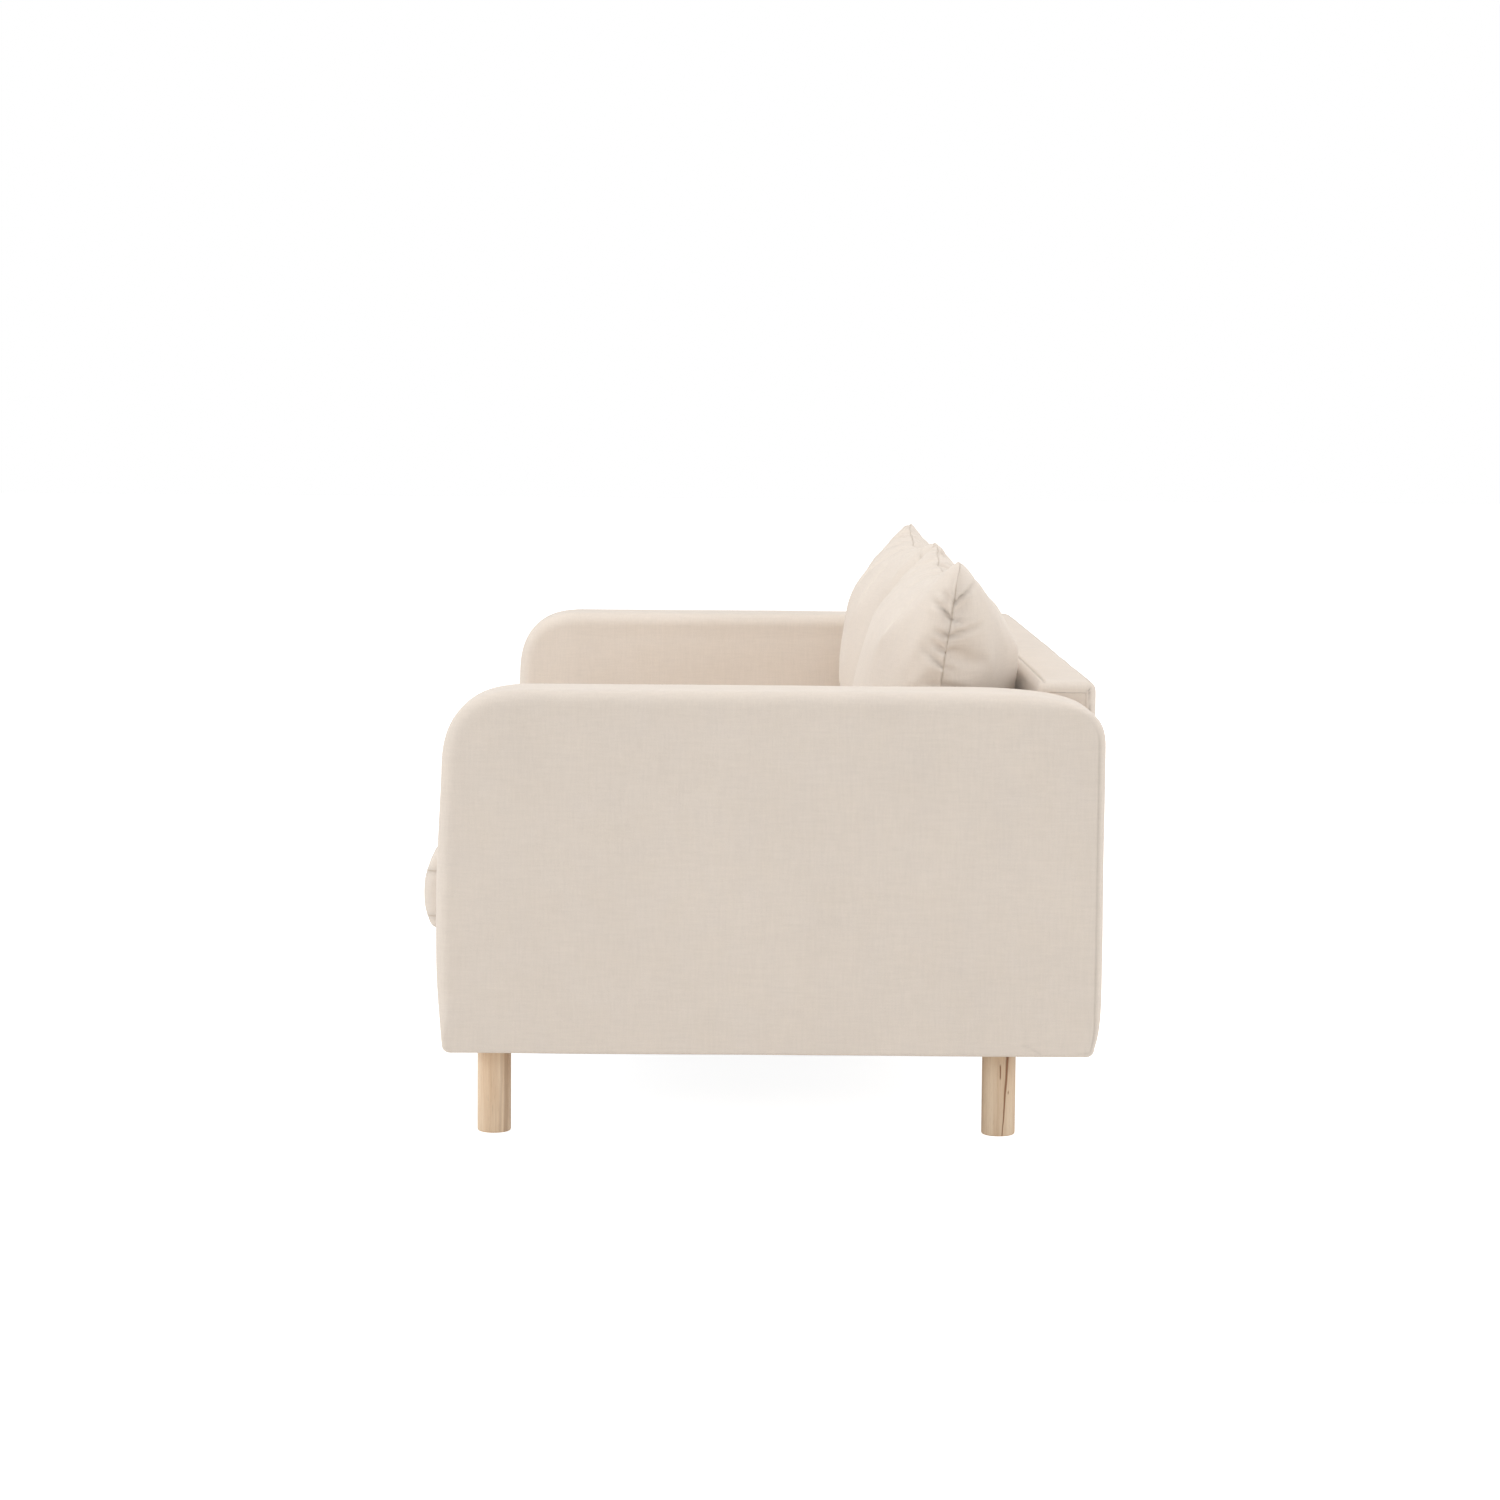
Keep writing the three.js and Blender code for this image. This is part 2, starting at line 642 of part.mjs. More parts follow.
function addArm(side) {
  addOnSide(side, `${side}_arm_cover`, armCover(), fabric);
  addOnSide(side, `${side}_arm_bottom_rail`, armBottomRail(), frameWood);
  addOnSide(side, `${side}_arm_top_rail`, armTopRail(), frameWood);
  addOnSide(side, `${side}_arm_front_post`, armPost(ARM_HEAD_FRONT), frameWood);
  addOnSide(side, `${side}_arm_rear_post`, armPost(ARM_HEAD_REAR - TIMBER), frameWood);
  ["front", "rear"].forEach((end, i) =>
    addOnSide(side, `${side}_arm_${end}_bolt`, armBolt(boltPlaces()[i]), steel),
  );
}

function addBack() {
  add("back_cover", backPanelCover(), fabric);
  add("back_bottom_rail", backRail(UNDERSIDE, BACK_FOOT_RAIL), frameWood);
  add("back_top_rail", backRail(BACK_HEAD - BACK_HEAD_RAIL, BACK_HEAD_RAIL), frameWood);
  const end = BACK_FRAME_HALF - TIMBER / 2;
  add("back_left_stile", backStile(end), frameWood);
  add("back_right_stile", backStile(-end), frameWood);
  add("back_centre_stile", backStile(0), frameWood);
  add("back_webbing_lower", backWebbing(290), webbing);
  add("back_webbing_upper", backWebbing(420), webbing);
}

function addLegs(side) {
  for (const [end, y] of Object.entries(legPlaces())) {
    addOnSide(side, `${end}_${side}_leg`, woodenLeg(LEG_X, y), legWood);
    addOnSide(side, `${end}_${side}_leg_stud`, legStud(LEG_X, y), steel);
    addOnSide(side, `${end}_${side}_leg_washer`, legWasher(LEG_X, y), plastic);
  }
}

function addCushions(side) {
  const backZipY = BACK_CUSHION_FOOT[0] + BACK_ZIP_SETBACK - ZIP_WIDTH / 2;
  const backZipZ = BACK_CUSHION_FOOT[1] - 6;
  const coreWall = SKIN + 1;
  const seatCover = cushionCover(seatCushionSolid, seatZipOpening());
  const backCover = cushionCover(backCushionSolid, backZipOpening());
  addOnSide(side, `${side}_seat_cushion_cover`, seatCover, cushionFabric);
  addOnSide(side, `${side}_seat_cushion_core`, seatCushionSolid(coreWall, 16), foam);
  addOnSide(side, `${side}_back_cushion_cover`, backCover, cushionFabric);
  addOnSide(side, `${side}_back_cushion_core`, backCushionSolid(coreWall, 16), foam);
  const seatSlider = zipSlider(SEAT_REAR + 1, SEAT_BOTTOM + SEAT_HEIGHT / 2, 16);
  addOnSide(side, `${side}_seat_zip_slider`, seatSlider, steel);
  const backSlider = zipSlider(backZipY, backZipZ, 4);
  addOnSide(side, `${side}_back_zip_slider`, backSlider, steel);
}

addBase();
addBack();
for (const side of Object.keys(SIDES)) {
  addArm(side);
  addLegs(side);
  addCushions(side);
}

export default sofa;
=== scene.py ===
# A two-seat sofa in pale short-pile velvet on round wooden legs: the looks of every piece, built round
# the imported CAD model. Metres, in the CAD's own frame: X runs along the sofa, the front faces -Y, the
# floor is z = 0.
import math

import bpy
import numpy as np
from mathutils import Matrix, Vector
from mathutils.kdtree import KDTree


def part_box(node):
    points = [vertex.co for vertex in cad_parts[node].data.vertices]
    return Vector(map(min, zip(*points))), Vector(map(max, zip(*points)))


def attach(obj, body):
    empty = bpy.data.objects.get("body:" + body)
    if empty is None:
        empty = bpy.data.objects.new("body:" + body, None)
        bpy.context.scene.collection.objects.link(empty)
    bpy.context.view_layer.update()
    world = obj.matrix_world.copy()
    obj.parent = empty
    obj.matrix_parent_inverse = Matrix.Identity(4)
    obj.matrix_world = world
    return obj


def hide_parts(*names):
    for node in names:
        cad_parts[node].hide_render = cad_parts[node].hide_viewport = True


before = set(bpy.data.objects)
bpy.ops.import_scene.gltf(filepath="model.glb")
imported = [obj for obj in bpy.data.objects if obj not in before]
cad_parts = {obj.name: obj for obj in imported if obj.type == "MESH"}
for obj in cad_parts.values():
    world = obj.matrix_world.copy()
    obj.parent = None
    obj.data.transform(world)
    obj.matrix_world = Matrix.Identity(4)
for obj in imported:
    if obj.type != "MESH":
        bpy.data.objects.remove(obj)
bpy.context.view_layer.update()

# ---- places, from the frame

SIDES = {"left": 1, "right": -1}
ENDS = ("front", "rear")

arm_low, arm_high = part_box("left_arm_cover")
ARM_INNER, ARM_OUTER = arm_low.x, arm_high.x
ARM_FRONT, ARM_REAR = arm_low.y, arm_high.y
UNDERSIDE, ARM_TOP = arm_low.z, arm_high.z

back_low, back_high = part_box("back_cover")
border_low, border_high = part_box("base_front_border")
deck_low, deck_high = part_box("seat_deck")
seat_low, seat_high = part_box("left_seat_cushion_cover")
pillow_low, pillow_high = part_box("left_back_cushion_cover")

BACK_TOP_DEPTH = 0.078  # front to rear at the back's top
BACK_CORNER = 0.014  # how far its top corners are rounded
BACK_PLUMP = 0.001  # how far the padding stands over the back's nominal top
BACK_TOP_SEAM = 0.070  # before the back's rear face
LEAN = math.radians(8.8)  # of the back cushions
SEAT_BORDER = 0.062  # height of the seat cushions' border panels
SEAT_BORDER_Z = 0.320
SEAT_DROOP = 0.012  # of the seat cushions' front edges
SEAT_OVERHANG = 0.002  # before the front border
SEAT_STEP = 0.008  # how far a back cushion sinks into its seat cushion
ZIP_LENGTH = 0.62
PILLOW_FOOT, PILLOW_HEAD = (0.2135, 0.397), (0.2695, 0.757)  # (y, z) of its lower and upper seams
PILLOW_CUT = (0.030, 0.045)  # how much wider and taller its panels are cut than it ends up
PILLOW_FRONT, PILLOW_REAR = 0.099, 0.124  # how far it swells before and behind its seam
PILLOW_VOLUME = 0.034
PILLOW_SLUMP = {"left": 0.13, "right": 0.04}  # how far its filling has settled


def place_of(node):
    """The middle and the size of a CAD node."""
    low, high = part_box(node)
    return (low + high) / 2, high - low


# ---- numbers and curves


def smoothstep(value, start, end):
    """0 at start and beyond it, 1 at end and beyond it, and a smooth rise between them."""
    t = np.clip((value - start) / (end - start), 0, 1)
    return t * t * (3 - 2 * t)


def ripple(points, wavelength, seed, waves=7):
    """A smooth random height from -1 to 1 at each point, the same on every run."""
    chance = np.random.default_rng(seed)
    heights = np.zeros(len(points))
    for _ in range(waves):
        direction = chance.normal(size=3)
        direction /= np.linalg.norm(direction)
        pace = 2 * math.pi / (wavelength * chance.uniform(0.7, 1.6))
        heights += np.sin(points @ direction * pace + chance.uniform(0, 2 * math.pi))
    return heights / waves


def curve(p0, p1, p2, p3, count=40):
    """Points along a cubic Bezier curve."""
    t = np.linspace(0, 1, count)[:, None]
    p0, p1, p2, p3 = (np.array(p, float) for p in (p0, p1, p2, p3))
    return (1 - t) ** 3 * p0 + 3 * (1 - t) ** 2 * t * p1 + 3 * (1 - t) * t**2 * p2 + t**3 * p3


def soft_corner(start, corner, end, count):
    """A curve from start to end that swings out towards the sharp corner between them."""
    start, corner, end = (np.array(p, float) for p in (start, corner, end))
    return curve(start, corner + 0.3 * (start - corner), corner + 0.3 * (end - corner), end, count)


def line(start, end, count=30):
    return np.linspace(start, end, count)


def arc(centre, radius, start, end, count=16):
    """Points round a centre between two angles in degrees."""
    angles = np.radians(np.linspace(start, end, count))
    return np.array(centre) + radius * np.column_stack([np.cos(angles), np.sin(angles)])


def chain(*paths):
    """One path through several, without the points that repeat where they meet."""
    points = np.vstack(paths)
    steps = np.linalg.norm(np.diff(points, axis=0), axis=1)
    return points[np.concatenate([[True], steps > 1e-7])]


def arc_length(path):
    return np.concatenate([[0], np.cumsum(np.linalg.norm(np.diff(path, axis=0), axis=1))])


def at_stops(path, shares):
    """Points on a path at shares of its length."""
    along = arc_length(path)
    return np.column_stack([np.interp(shares * along[-1], along, values) for values in path.T])


def dense(path, spacing):
    """A path's points again, an even spacing apart."""
    path = np.asarray(path, float)
    return at_stops(path, stops(arc_length(path)[-1], spacing))


def stops(length, spacing, fine=()):
    """Shares from 0 to 1 a spacing apart; fine lists (share, reach, spacing) where they crowd together."""
    places = np.linspace(0, 1, 2000)
    density = np.full(len(places), length / spacing)
    for centre, reach, close in fine:
        bell = np.exp(-(((places - centre) * length / reach) ** 2))
        density = np.maximum(density, length / close * bell)
    count = np.concatenate([[0], np.cumsum((density[1:] + density[:-1]) / 2 * np.diff(places))])
    return np.interp(np.linspace(0, count[-1], math.ceil(count[-1]) + 1), count, places)


def sides_of(loop, corners):
    """Cuts a closed outline, given counter-clockwise, into its bottom, rear, top and front sides.

    corners are points near the bottom front, bottom rear, top rear and top front. The bottom and top
    come back running front to rear, and the front and rear running upwards.
    """
    found = [int(np.argmin(np.linalg.norm(loop - np.array(corner), axis=1))) for corner in corners]
    loop = np.roll(loop, -found[0], axis=0)
    found = [(index - found[0]) % len(loop) for index in found]
    loop = np.vstack([loop, loop[:1]])
    cuts = [*found, len(loop) - 1]
    bottom, rear, top, front = (loop[cuts[k] : cuts[k + 1] + 1] for k in range(4))
    return bottom, rear, top[::-1], front[::-1]


# ---- meshes


def new_object(name, points, faces, smooth=True):
    mesh = bpy.data.meshes.new(name)
    mesh.from_pydata(np.asarray(points).tolist(), [], [list(map(int, face)) for face in faces])
    mesh.validate()
    mesh.update()
    mesh.polygons.foreach_set("use_smooth", [smooth] * len(mesh.polygons))
    piece = bpy.data.objects.new(name, mesh)
    bpy.context.scene.collection.objects.link(piece)
    return piece


def rows_of(items, key, width=3):
    """One row of numbers for each vertex."""
    flat = np.zeros(len(items) * width)
    items.foreach_get(key, flat)
    return flat.reshape(-1, width)


def points_of(piece):
    return rows_of(piece.data.vertices, "co")


def normals_of(piece):
    return rows_of(piece.data.vertex_normals, "vector")


def pattern_of(piece):
    """Each point's place on its cut panel: shares across and up, and 1 or -1 for the two faces."""
    return rows_of(piece.data.attributes["pattern"].data, "vector")


def move_to(piece, points):
    piece.data.vertices.foreach_set("co", np.asarray(points, float).ravel())
    piece.data.update()


def mirror(piece):
    """Turns a piece made on the +X side over to the -X side."""
    points = points_of(piece)
    piece.data.flip_normals()
    move_to(piece, points * (-1, 1, 1))


def ring_of(piece, number):
    """The points of one ring of a slab, in order."""
    count = piece["outline"]
    return np.arange(number * count, (number + 1) * count)


# Which way an outline's two directions and its thickness run: (across, up, thick).
FACING_SIDE = np.array([[0, 1, 0], [0, 0, 1], [1, 0, 0]], float)
LYING_FLAT = np.array([[1, 0, 0], [0, 1, 0], [0, 0, 1]], float)
FACING_FRONT = np.array([[1, 0, 0], [0, 0, 1], [0, -1, 0]], float)


def outline_at(sides, across, up):
    """The closed outline through the stops along its bottom, rear, top and front."""
    bottom, rear, top, front = sides
    bottom, top = at_stops(bottom, across), at_stops(top, across)
    front, rear = at_stops(front, up), at_stops(rear, up)
    return np.vstack([bottom[:-1], rear[:-1], top[::-1][:-1], front[::-1][:-1]])


def outward_of(loop):
    """Unit normals of a closed outline, whose points may be unevenly spaced."""
    ahead = np.roll(loop, -1, axis=0) - loop
    behind = np.roll(ahead, 1, axis=0)
    step_ratio = (np.linalg.norm(behind, axis=1) / np.linalg.norm(ahead, axis=1))[:, None]
    tangent = ahead * step_ratio + behind / step_ratio
    outward = np.column_stack([tangent[:, 1], -tangent[:, 0]])
    return outward / np.linalg.norm(outward, axis=1)[:, None]


def slab(name, sides, rings, across, up, axes, crown=0.0, eased=True):
    """A closed padded form with an outline and a thickness, in clean quads.

    sides are the outline's bottom, rear, top and front. rings lists (inset, height) from its high face
    to its low face: how far a ring lies inside the outline, and where it is across the thickness; each
    may be one number or one for every outline point. across and up are the stops along the sides. Both
    faces are filled with a grid that rises by crown in the middle, eased at its edges or not. Its pattern
    attribute keeps where each point lies on its panel.
    """
    nu, nv = len(across) - 1, len(up) - 1
    loop = outline_at(sides, across, up)
    outward = outward_of(loop)
    count = len(loop)
    points = []
    for inset, height in rings:
        flat = loop - outward * np.broadcast_to(inset, count)[:, None]
        points.append(np.column_stack([flat, np.broadcast_to(height, count)]))
    points = np.vstack(points)
    edge = np.zeros((nu + 1, nv + 1), int)
    edge[:, 0] = np.arange(nu + 1)
    edge[nu, :] = nu + np.arange(nv + 1)
    edge[:, nv] = nu + nv + nu - np.arange(nu + 1)
    edge[0, :] = (2 * nu + nv + nv - np.arange(nv + 1)) % count
    faces = []
    u, v = across[:, None, None], up[None, :, None]
    shares = np.stack(np.broadcast_arrays(u[..., 0], v[..., 0]), axis=-1)
    rim_pattern = np.zeros((count, 3))
    for line_of_edge in ((slice(None), 0), (slice(None), nv), (0, slice(None)), (nu, slice(None))):
        rim_pattern[edge[line_of_edge], :2] = shares[line_of_edge]
    pattern = np.tile(rim_pattern, (len(rings), 1))
    power = 4 if eased else 2
    rise = (1 - np.abs(2 * u - 1) ** power) * (1 - np.abs(2 * v - 1) ** power)
    rise = smoothstep(rise, 0, 1) if eased else rise
    for ring, sign in ((0, 1), (len(rings) - 1, -1)):
        grid = edge + ring * count
        rim = points[grid]
        fill = (1 - v) * rim[:, :1] + v * rim[:, -1:] + (1 - u) * rim[:1] + u * rim[-1:]
        fill = fill - (1 - u) * (1 - v) * rim[0, 0] - u * (1 - v) * rim[-1, 0]
        fill = fill - (1 - u) * v * rim[0, -1] - u * v * rim[-1, -1]
        fill[:, :, 2:] += sign * crown * rise
        inner = fill[1:-1, 1:-1].reshape(-1, 3)
        grid[1:-1, 1:-1] = len(points) + np.arange(len(inner)).reshape(nu - 1, nv - 1)
        points = np.vstack([points, inner])
        inner_shares = shares[1:-1, 1:-1].reshape(-1, 2)
        pattern = np.vstack([pattern, np.column_stack([inner_shares, np.full(len(inner), sign)])])
        quads = np.stack([grid[:-1, :-1], grid[1:, :-1], grid[1:, 1:], grid[:-1, 1:]], axis=-1)
        quads = quads.reshape(-1, 4)
        faces.append(quads if sign > 0 else quads[:, ::-1])
    here = np.arange(count)
    after = np.roll(here, -1)
    for ring in range(len(rings) - 1):
        low, high = ring * count, (ring + 1) * count
        faces.append(np.column_stack([low + here, high + here, high + after, low + after]))
    piece = new_object(name, points @ axes, np.vstack(faces))
    piece["outline"] = count
    layer = piece.data.attributes.new("pattern", "FLOAT_VECTOR", "POINT")
    layer.data.foreach_set("vector", pattern.astype(np.float32).ravel())
    return piece


def padded_rings(low, high, radius, band, spread=(1.9, 1.5, 1.25, 1.1), turns=7):
    """Rings for a slab from its high face to its low one, with its edges rounded by radius.

    spread lists rings on the faces, inside the rounding. band counts those between the two edges.
    """
    edge = [(radius * factor, 0) for factor in spread]
    for angle in np.radians(np.linspace(0, 90, turns)):
        edge.append((radius * (1 - math.sin(angle)), radius * (1 - math.cos(angle))))
    between = np.linspace(0, 1, band + 2)[1:-1]
    middle = [(0, (high - radius) * (1 - share) + (low + radius) * share) for share in between]
    upper = [(inset, high - drop) for inset, drop in edge]
    lower = [(inset, low + drop) for inset, drop in edge[::-1]]
    return upper + middle + lower


def press(piece, path, width, depth, dark=1.0, fade=0.001):
    """Presses a line into a surface, as a seam or a crease does, and paints shade along it for its
    material; dark sets how much.

    Over the fade length at both of its ends, the line dies away.
    """
    path = np.asarray(path, float)
    along = arc_length(path)
    strength = smoothstep(np.minimum(along, along[-1] - along), 0, fade)
    tree = KDTree(len(path))
    for index, place in enumerate(path):
        tree.insert(place, index)
    tree.balance()
    points, normals = points_of(piece), normals_of(piece)
    reach = 4 * width
    near = np.all((points > path.min(0) - reach) & (points < path.max(0) + reach), axis=1)
    marks = np.zeros(len(points))
    for index in np.nonzero(near)[0]:
        _, nearest, distance = tree.find(points[index])
        marks[index] = strength[nearest] * math.exp(-((distance / width) ** 2))
    move_to(piece, points - normals * (depth * marks)[:, None])
    paint_groove_shade(piece, marks * dark)


def paint_groove_shade(piece, marks):
    """Sets how much painted shade darkens each point for its material, from 0 to 1, where it isn't darker
    already.
    """
    layer = piece.data.attributes.get("seam") or piece.data.attributes.new("seam", "FLOAT", "POINT")
    old = rows_of(layer.data, "value", 1)[:, 0]
    layer.data.foreach_set("value", np.maximum(old, marks).astype(np.float32))


def soften(piece, amount, wavelength, seed):
    """Gives padding the slight unevenness of foam under cloth."""
    points, normals = points_of(piece), normals_of(piece)
    move_to(piece, points + normals * (amount * ripple(points, wavelength, seed))[:, None])


def round_row(radius, z, angles):
    """Points round local Z at a height; radius may be one number or one for every angle."""
    return np.column_stack([radius * np.cos(angles), radius * np.sin(angles), np.full(len(angles), z)])


def skin(name, rows):
    """A surface through rows of points round an axis, where the first and last may be single points."""
    faces = []
    lower = 0
    for row, next_row in zip(rows, rows[1:]):
        upper = lower + len(row)
        here = np.arange(max(len(row), len(next_row)))
        for i, j in zip(here, np.roll(here, -1)):
            if len(row) == 1:
                faces.append((lower, upper + j, upper + i))
            elif len(next_row) == 1:
                faces.append((lower + i, lower + j, upper))
            else:
                faces.append((lower + i, lower + j, upper + j, upper + i))
        lower = upper
    return new_object(name, np.vstack(rows), faces)


def lathe(name, profile, segments):
    """A turned form about local Z; profile lists (radius, z) from one end of the axis to the other."""
    angles = np.linspace(0, 2 * math.pi, segments, endpoint=False)
    rows = [round_row(radius, z, angles) if radius > 0 else [(0, 0, z)] for radius, z in profile]
    return skin(name, rows)


def tube(name, path, radius, closed=False, resolution=3):
    """A round cord, wire or thread along a path."""
    data = bpy.data.curves.new(name, "CURVE")
    data.dimensions = "3D"
    data.bevel_depth = radius
    data.bevel_resolution = resolution
    data.use_fill_caps = not closed
    spline = data.splines.new("POLY")
    spline.points.add(len(path) - 1)
    spline.points.foreach_set("co", np.column_stack([path, np.ones(len(path))]).ravel())
    spline.use_cyclic_u = closed
    piece = bpy.data.objects.new(name, data)
    bpy.context.scene.collection.objects.link(piece)
    return piece


# ---- materials


class Nodes:
    """A material with short ways to add the nodes that the finishes here are made of."""

    def __init__(self, name, roughness, metallic=0.0):
        self.material = bpy.data.materials.new(name)
        self.material.use_nodes = True
        self.tree = self.material.node_tree
        self.shader = self.tree.nodes["Principled BSDF"]
        self.set(Roughness=roughness, Metallic=metallic)
        self.place = self.add("ShaderNodeTexCoord").outputs["Object"]

    def add(self, kind, **settings):
        node = self.tree.nodes.new(kind)
        for key, value in settings.items():
            setattr(node, key, value)
        return node

    def feed(self, socket, value):
        """Links a socket's output or sets a plain value."""
        if isinstance(value, bpy.types.NodeSocket):
            self.tree.links.new(value, socket)
        else:
            socket.default_value = value

    def feed_in_order(self, node, *values):
        for socket, value in zip(node.inputs, values):
            self.feed(socket, value)
        return node.outputs[0]

    def feed_named(self, node, **values):
        for name, value in values.items():
            self.feed(node.inputs[name.replace("_", " ")], value)
        return node.outputs[0]

    def math(self, operation, *values, clamp=False):
        node = self.add("ShaderNodeMath", operation=operation, use_clamp=clamp)
        return self.feed_in_order(node, *values)

    def stretched(self, scale, offset=(0, 0, 0)):
        node = self.add("ShaderNodeMapping")
        return self.feed_named(node, Vector=self.place, Scale=scale, Location=offset)

    def noise(self, vector, scale, detail, roughness=0.5):
        node = self.add("ShaderNodeTexNoise")
        return self.feed_named(node, Vector=vector, Scale=scale, Detail=detail, Roughness=roughness)

    def wave(self, vector, scale, direction, distortion):
        """Smooth bands as grey levels."""
        node = self.add("ShaderNodeTexWave", bands_direction=direction)
        self.feed_named(node, Vector=vector, Scale=scale, Distortion=distortion)
        return node.outputs["Fac"]

    def span(self, value, low, high, start=0.0, end=1.0):
        """Stretches a value between start and end to run from low to high."""
        return self.feed_in_order(self.add("ShaderNodeMapRange"), value, start, end, low, high)

    def mix(self, share, first, second, blend="MIX"):
        node = self.add("ShaderNodeMix", data_type="RGBA", blend_type=blend)
        self.feed(node.inputs["Factor"], share)
        # Of a colour mix's sockets, 6 and 7 are its two colours.
        self.feed(node.inputs[6], first)
        self.feed(node.inputs[7], second)
        return node.outputs[2]

    def bump(self, height, distance, strength):
        node = self.add("ShaderNodeBump")
        lifted = self.feed_named(node, Height=height, Distance=distance, Strength=strength)
        self.set(Normal=lifted)

    def colour(self, value):
        self.set(Base_Color=value)

    def set(self, **values):
        """Sets or links the shader's inputs."""
        self.feed_named(self.shader, **values)


def rgb(red, green, blue):
    """A linear colour from its sRGB values of 0 to 255."""
    share = np.array([red, green, blue]) / 255
    linear = np.where(share <= 0.04045, share / 12.92, ((share + 0.055) / 1.055) ** 2.4)
    return (*linear.tolist(), 1.0)


def shade(colour, factor):
    return (*(min(channel * factor, 1.0) for channel in colour[:3]), 1.0)


def velvet(name, colour):
    """Short-pile cloth: broad patches where the pile leans, upright and level yarns, single fibres, and
    painted shade in its seams, creases and folds.
    """
    m = Nodes(name, roughness=0.92)
    patchiness, slub, fibre = 0.018, 0.024, 0.045
    patches = m.noise(m.stretched((1, 1, 0.6)), 9, 3, 0.55)
    upright = m.noise(m.stretched((1, 1, 0.10)), 330, 3, 0.6)
    level = m.noise(m.stretched((0.10, 0.10, 1)), 330, 3, 0.6)
    tufts = m.noise(m.place, 1300, 2, 0.6)
    # Painted shade: the seam attribute darkens the cloth down to 0.55 in seams, creases and folds; the pile
    # noises after it are the cloth's own.
    seam = m.add("ShaderNodeAttribute", attribute_name="seam").outputs["Fac"]
    light = m.span(seam, 1.0, 0.55)
    for texture, amount in ((patches, patchiness), (upright, slub), (level, slub), (tufts, fibre)):
        light = m.math("MULTIPLY", light, m.span(texture, 1 - amount, 1 + amount, 0.25, 0.75))
    cool = (colour[0] * 0.985, colour[1] * 0.995, colour[2] * 1.02, 1.0)
    tone = m.mix(m.noise(m.place, 23, 2), colour, cool)
    grey = m.add("ShaderNodeCombineColor")
    for socket in grey.inputs:
        m.feed(socket, light)
    m.colour(m.mix(1.0, tone, grey.outputs[0], "MULTIPLY"))
    yarns = m.math("MULTIPLY", m.math("ADD", upright, level), 0.5)
    m.bump(m.math("MULTIPLY_ADD", tufts, 0.6, yarns), 0.0006, 0.6)
    m.set(Sheen_Weight=0.22, Sheen_Roughness=0.45, Sheen_Tint=(1.0, 0.97, 0.93, 1.0))
    m.set(Specular_IOR_Level=0.15)
    return m.material


LEG_LIGHT = rgb(232, 211, 184)
LEG_DARK = rgb(206, 176, 144)
LEG_FIGURE = rgb(134, 88, 54)


def leg_wood(name, seed, tone, figure):
    """Pale turned hardwood with fine upright grain; figure lists brown streaks on the leg's +X side.

    A streak is (y, z) where it starts and ends, from the leg's axis and the floor, its half width at
    both, and how dark it is.
    """
    m = Nodes(name, roughness=0.5)
    offset = (seed * 1.7, seed * 0.9, seed * 0.4)
    broad = m.noise(m.stretched((1, 1, 0.06), offset), 70, 4, 0.6)
    fine = m.noise(m.stretched((1, 1, 0.03), offset), 420, 3, 0.65)
    pores = m.noise(m.stretched((1, 1, 0.05), offset), 1500, 2, 0.5)
    grain = m.math("ADD", m.math("MULTIPLY", broad, 0.7), m.math("MULTIPLY", fine, 0.45))
    # tone scales all of the wood's colours: painted light, lighter on the front legs and darker on the rear
    # ones.
    wood = m.mix(m.span(grain, 0.0, 1.0, 0.38, 0.78), shade(LEG_LIGHT, tone), shade(LEG_DARK, tone))
    wood = m.mix(m.span(pores, 0.0, 0.45, 0.62, 0.72), wood, shade(LEG_DARK, 0.7))
    x, y, z = m.add("ShaderNodeSeparateXYZ").outputs
    m.feed(x.node.inputs[0], m.place)
    wander = m.noise(m.stretched((1, 1, 0.3)), 90, 2)
    wander = m.math("MULTIPLY", m.math("SUBTRACT", wander, 0.5), 0.002)
    near_side = m.math("GREATER_THAN", x, 0.0)
    for (y0, z0), (y1, z1), half0, half1, strength in figure:
        share = m.span(z, 0.0, 1.0, z0, z1)
        middle = m.math("ADD", m.math("MULTIPLY_ADD", share, y1 - y0, y0), wander)
        half = m.math("MULTIPLY_ADD", share, half1 - half0, half0)
        away = m.math("DIVIDE", m.math("ABSOLUTE", m.math("SUBTRACT", y, middle)), half)
        inside = m.span(away, 1.0, 0.0, 0.35, 1.0)
        foot_end = m.span(z, 0.0, 1.0, z0 - 0.002, z0 + 0.002)
        ends = m.math("MULTIPLY", foot_end, m.span(z, 1.0, 0.0, z1 - 0.002, z1 + 0.002))
        mask = m.math("MULTIPLY", m.math("MULTIPLY", inside, ends), m.math("MULTIPLY", near_side, strength))
        wood = m.mix(mask, wood, LEG_FIGURE)
    m.colour(wood)
    m.set(Roughness=m.span(fine, 0.42, 0.6))
    m.bump(m.math("ADD", fine, pores), 0.00015, 0.5)
    m.set(Coat_Weight=0.08, Coat_Roughness=0.35)
    return m.material


def frame_timber():
    """Sawn softwood, with its grain along each board."""
    m = Nodes("frame_timber", roughness=0.75)
    grain = m.noise(m.stretched((0.08, 1, 1)), 90, 5, 0.6)
    knots = m.noise(m.place, 14, 2, 0.5)
    wood = m.mix(m.span(grain, 0, 1, 0.3, 0.7), rgb(222, 194, 150), rgb(186, 146, 98))
    wood = m.mix(m.span(knots, 0.0, 0.6, 0.68, 0.76), wood, rgb(128, 86, 52))
    m.colour(wood)
    m.bump(grain, 0.0004, 0.6)
    return m.material


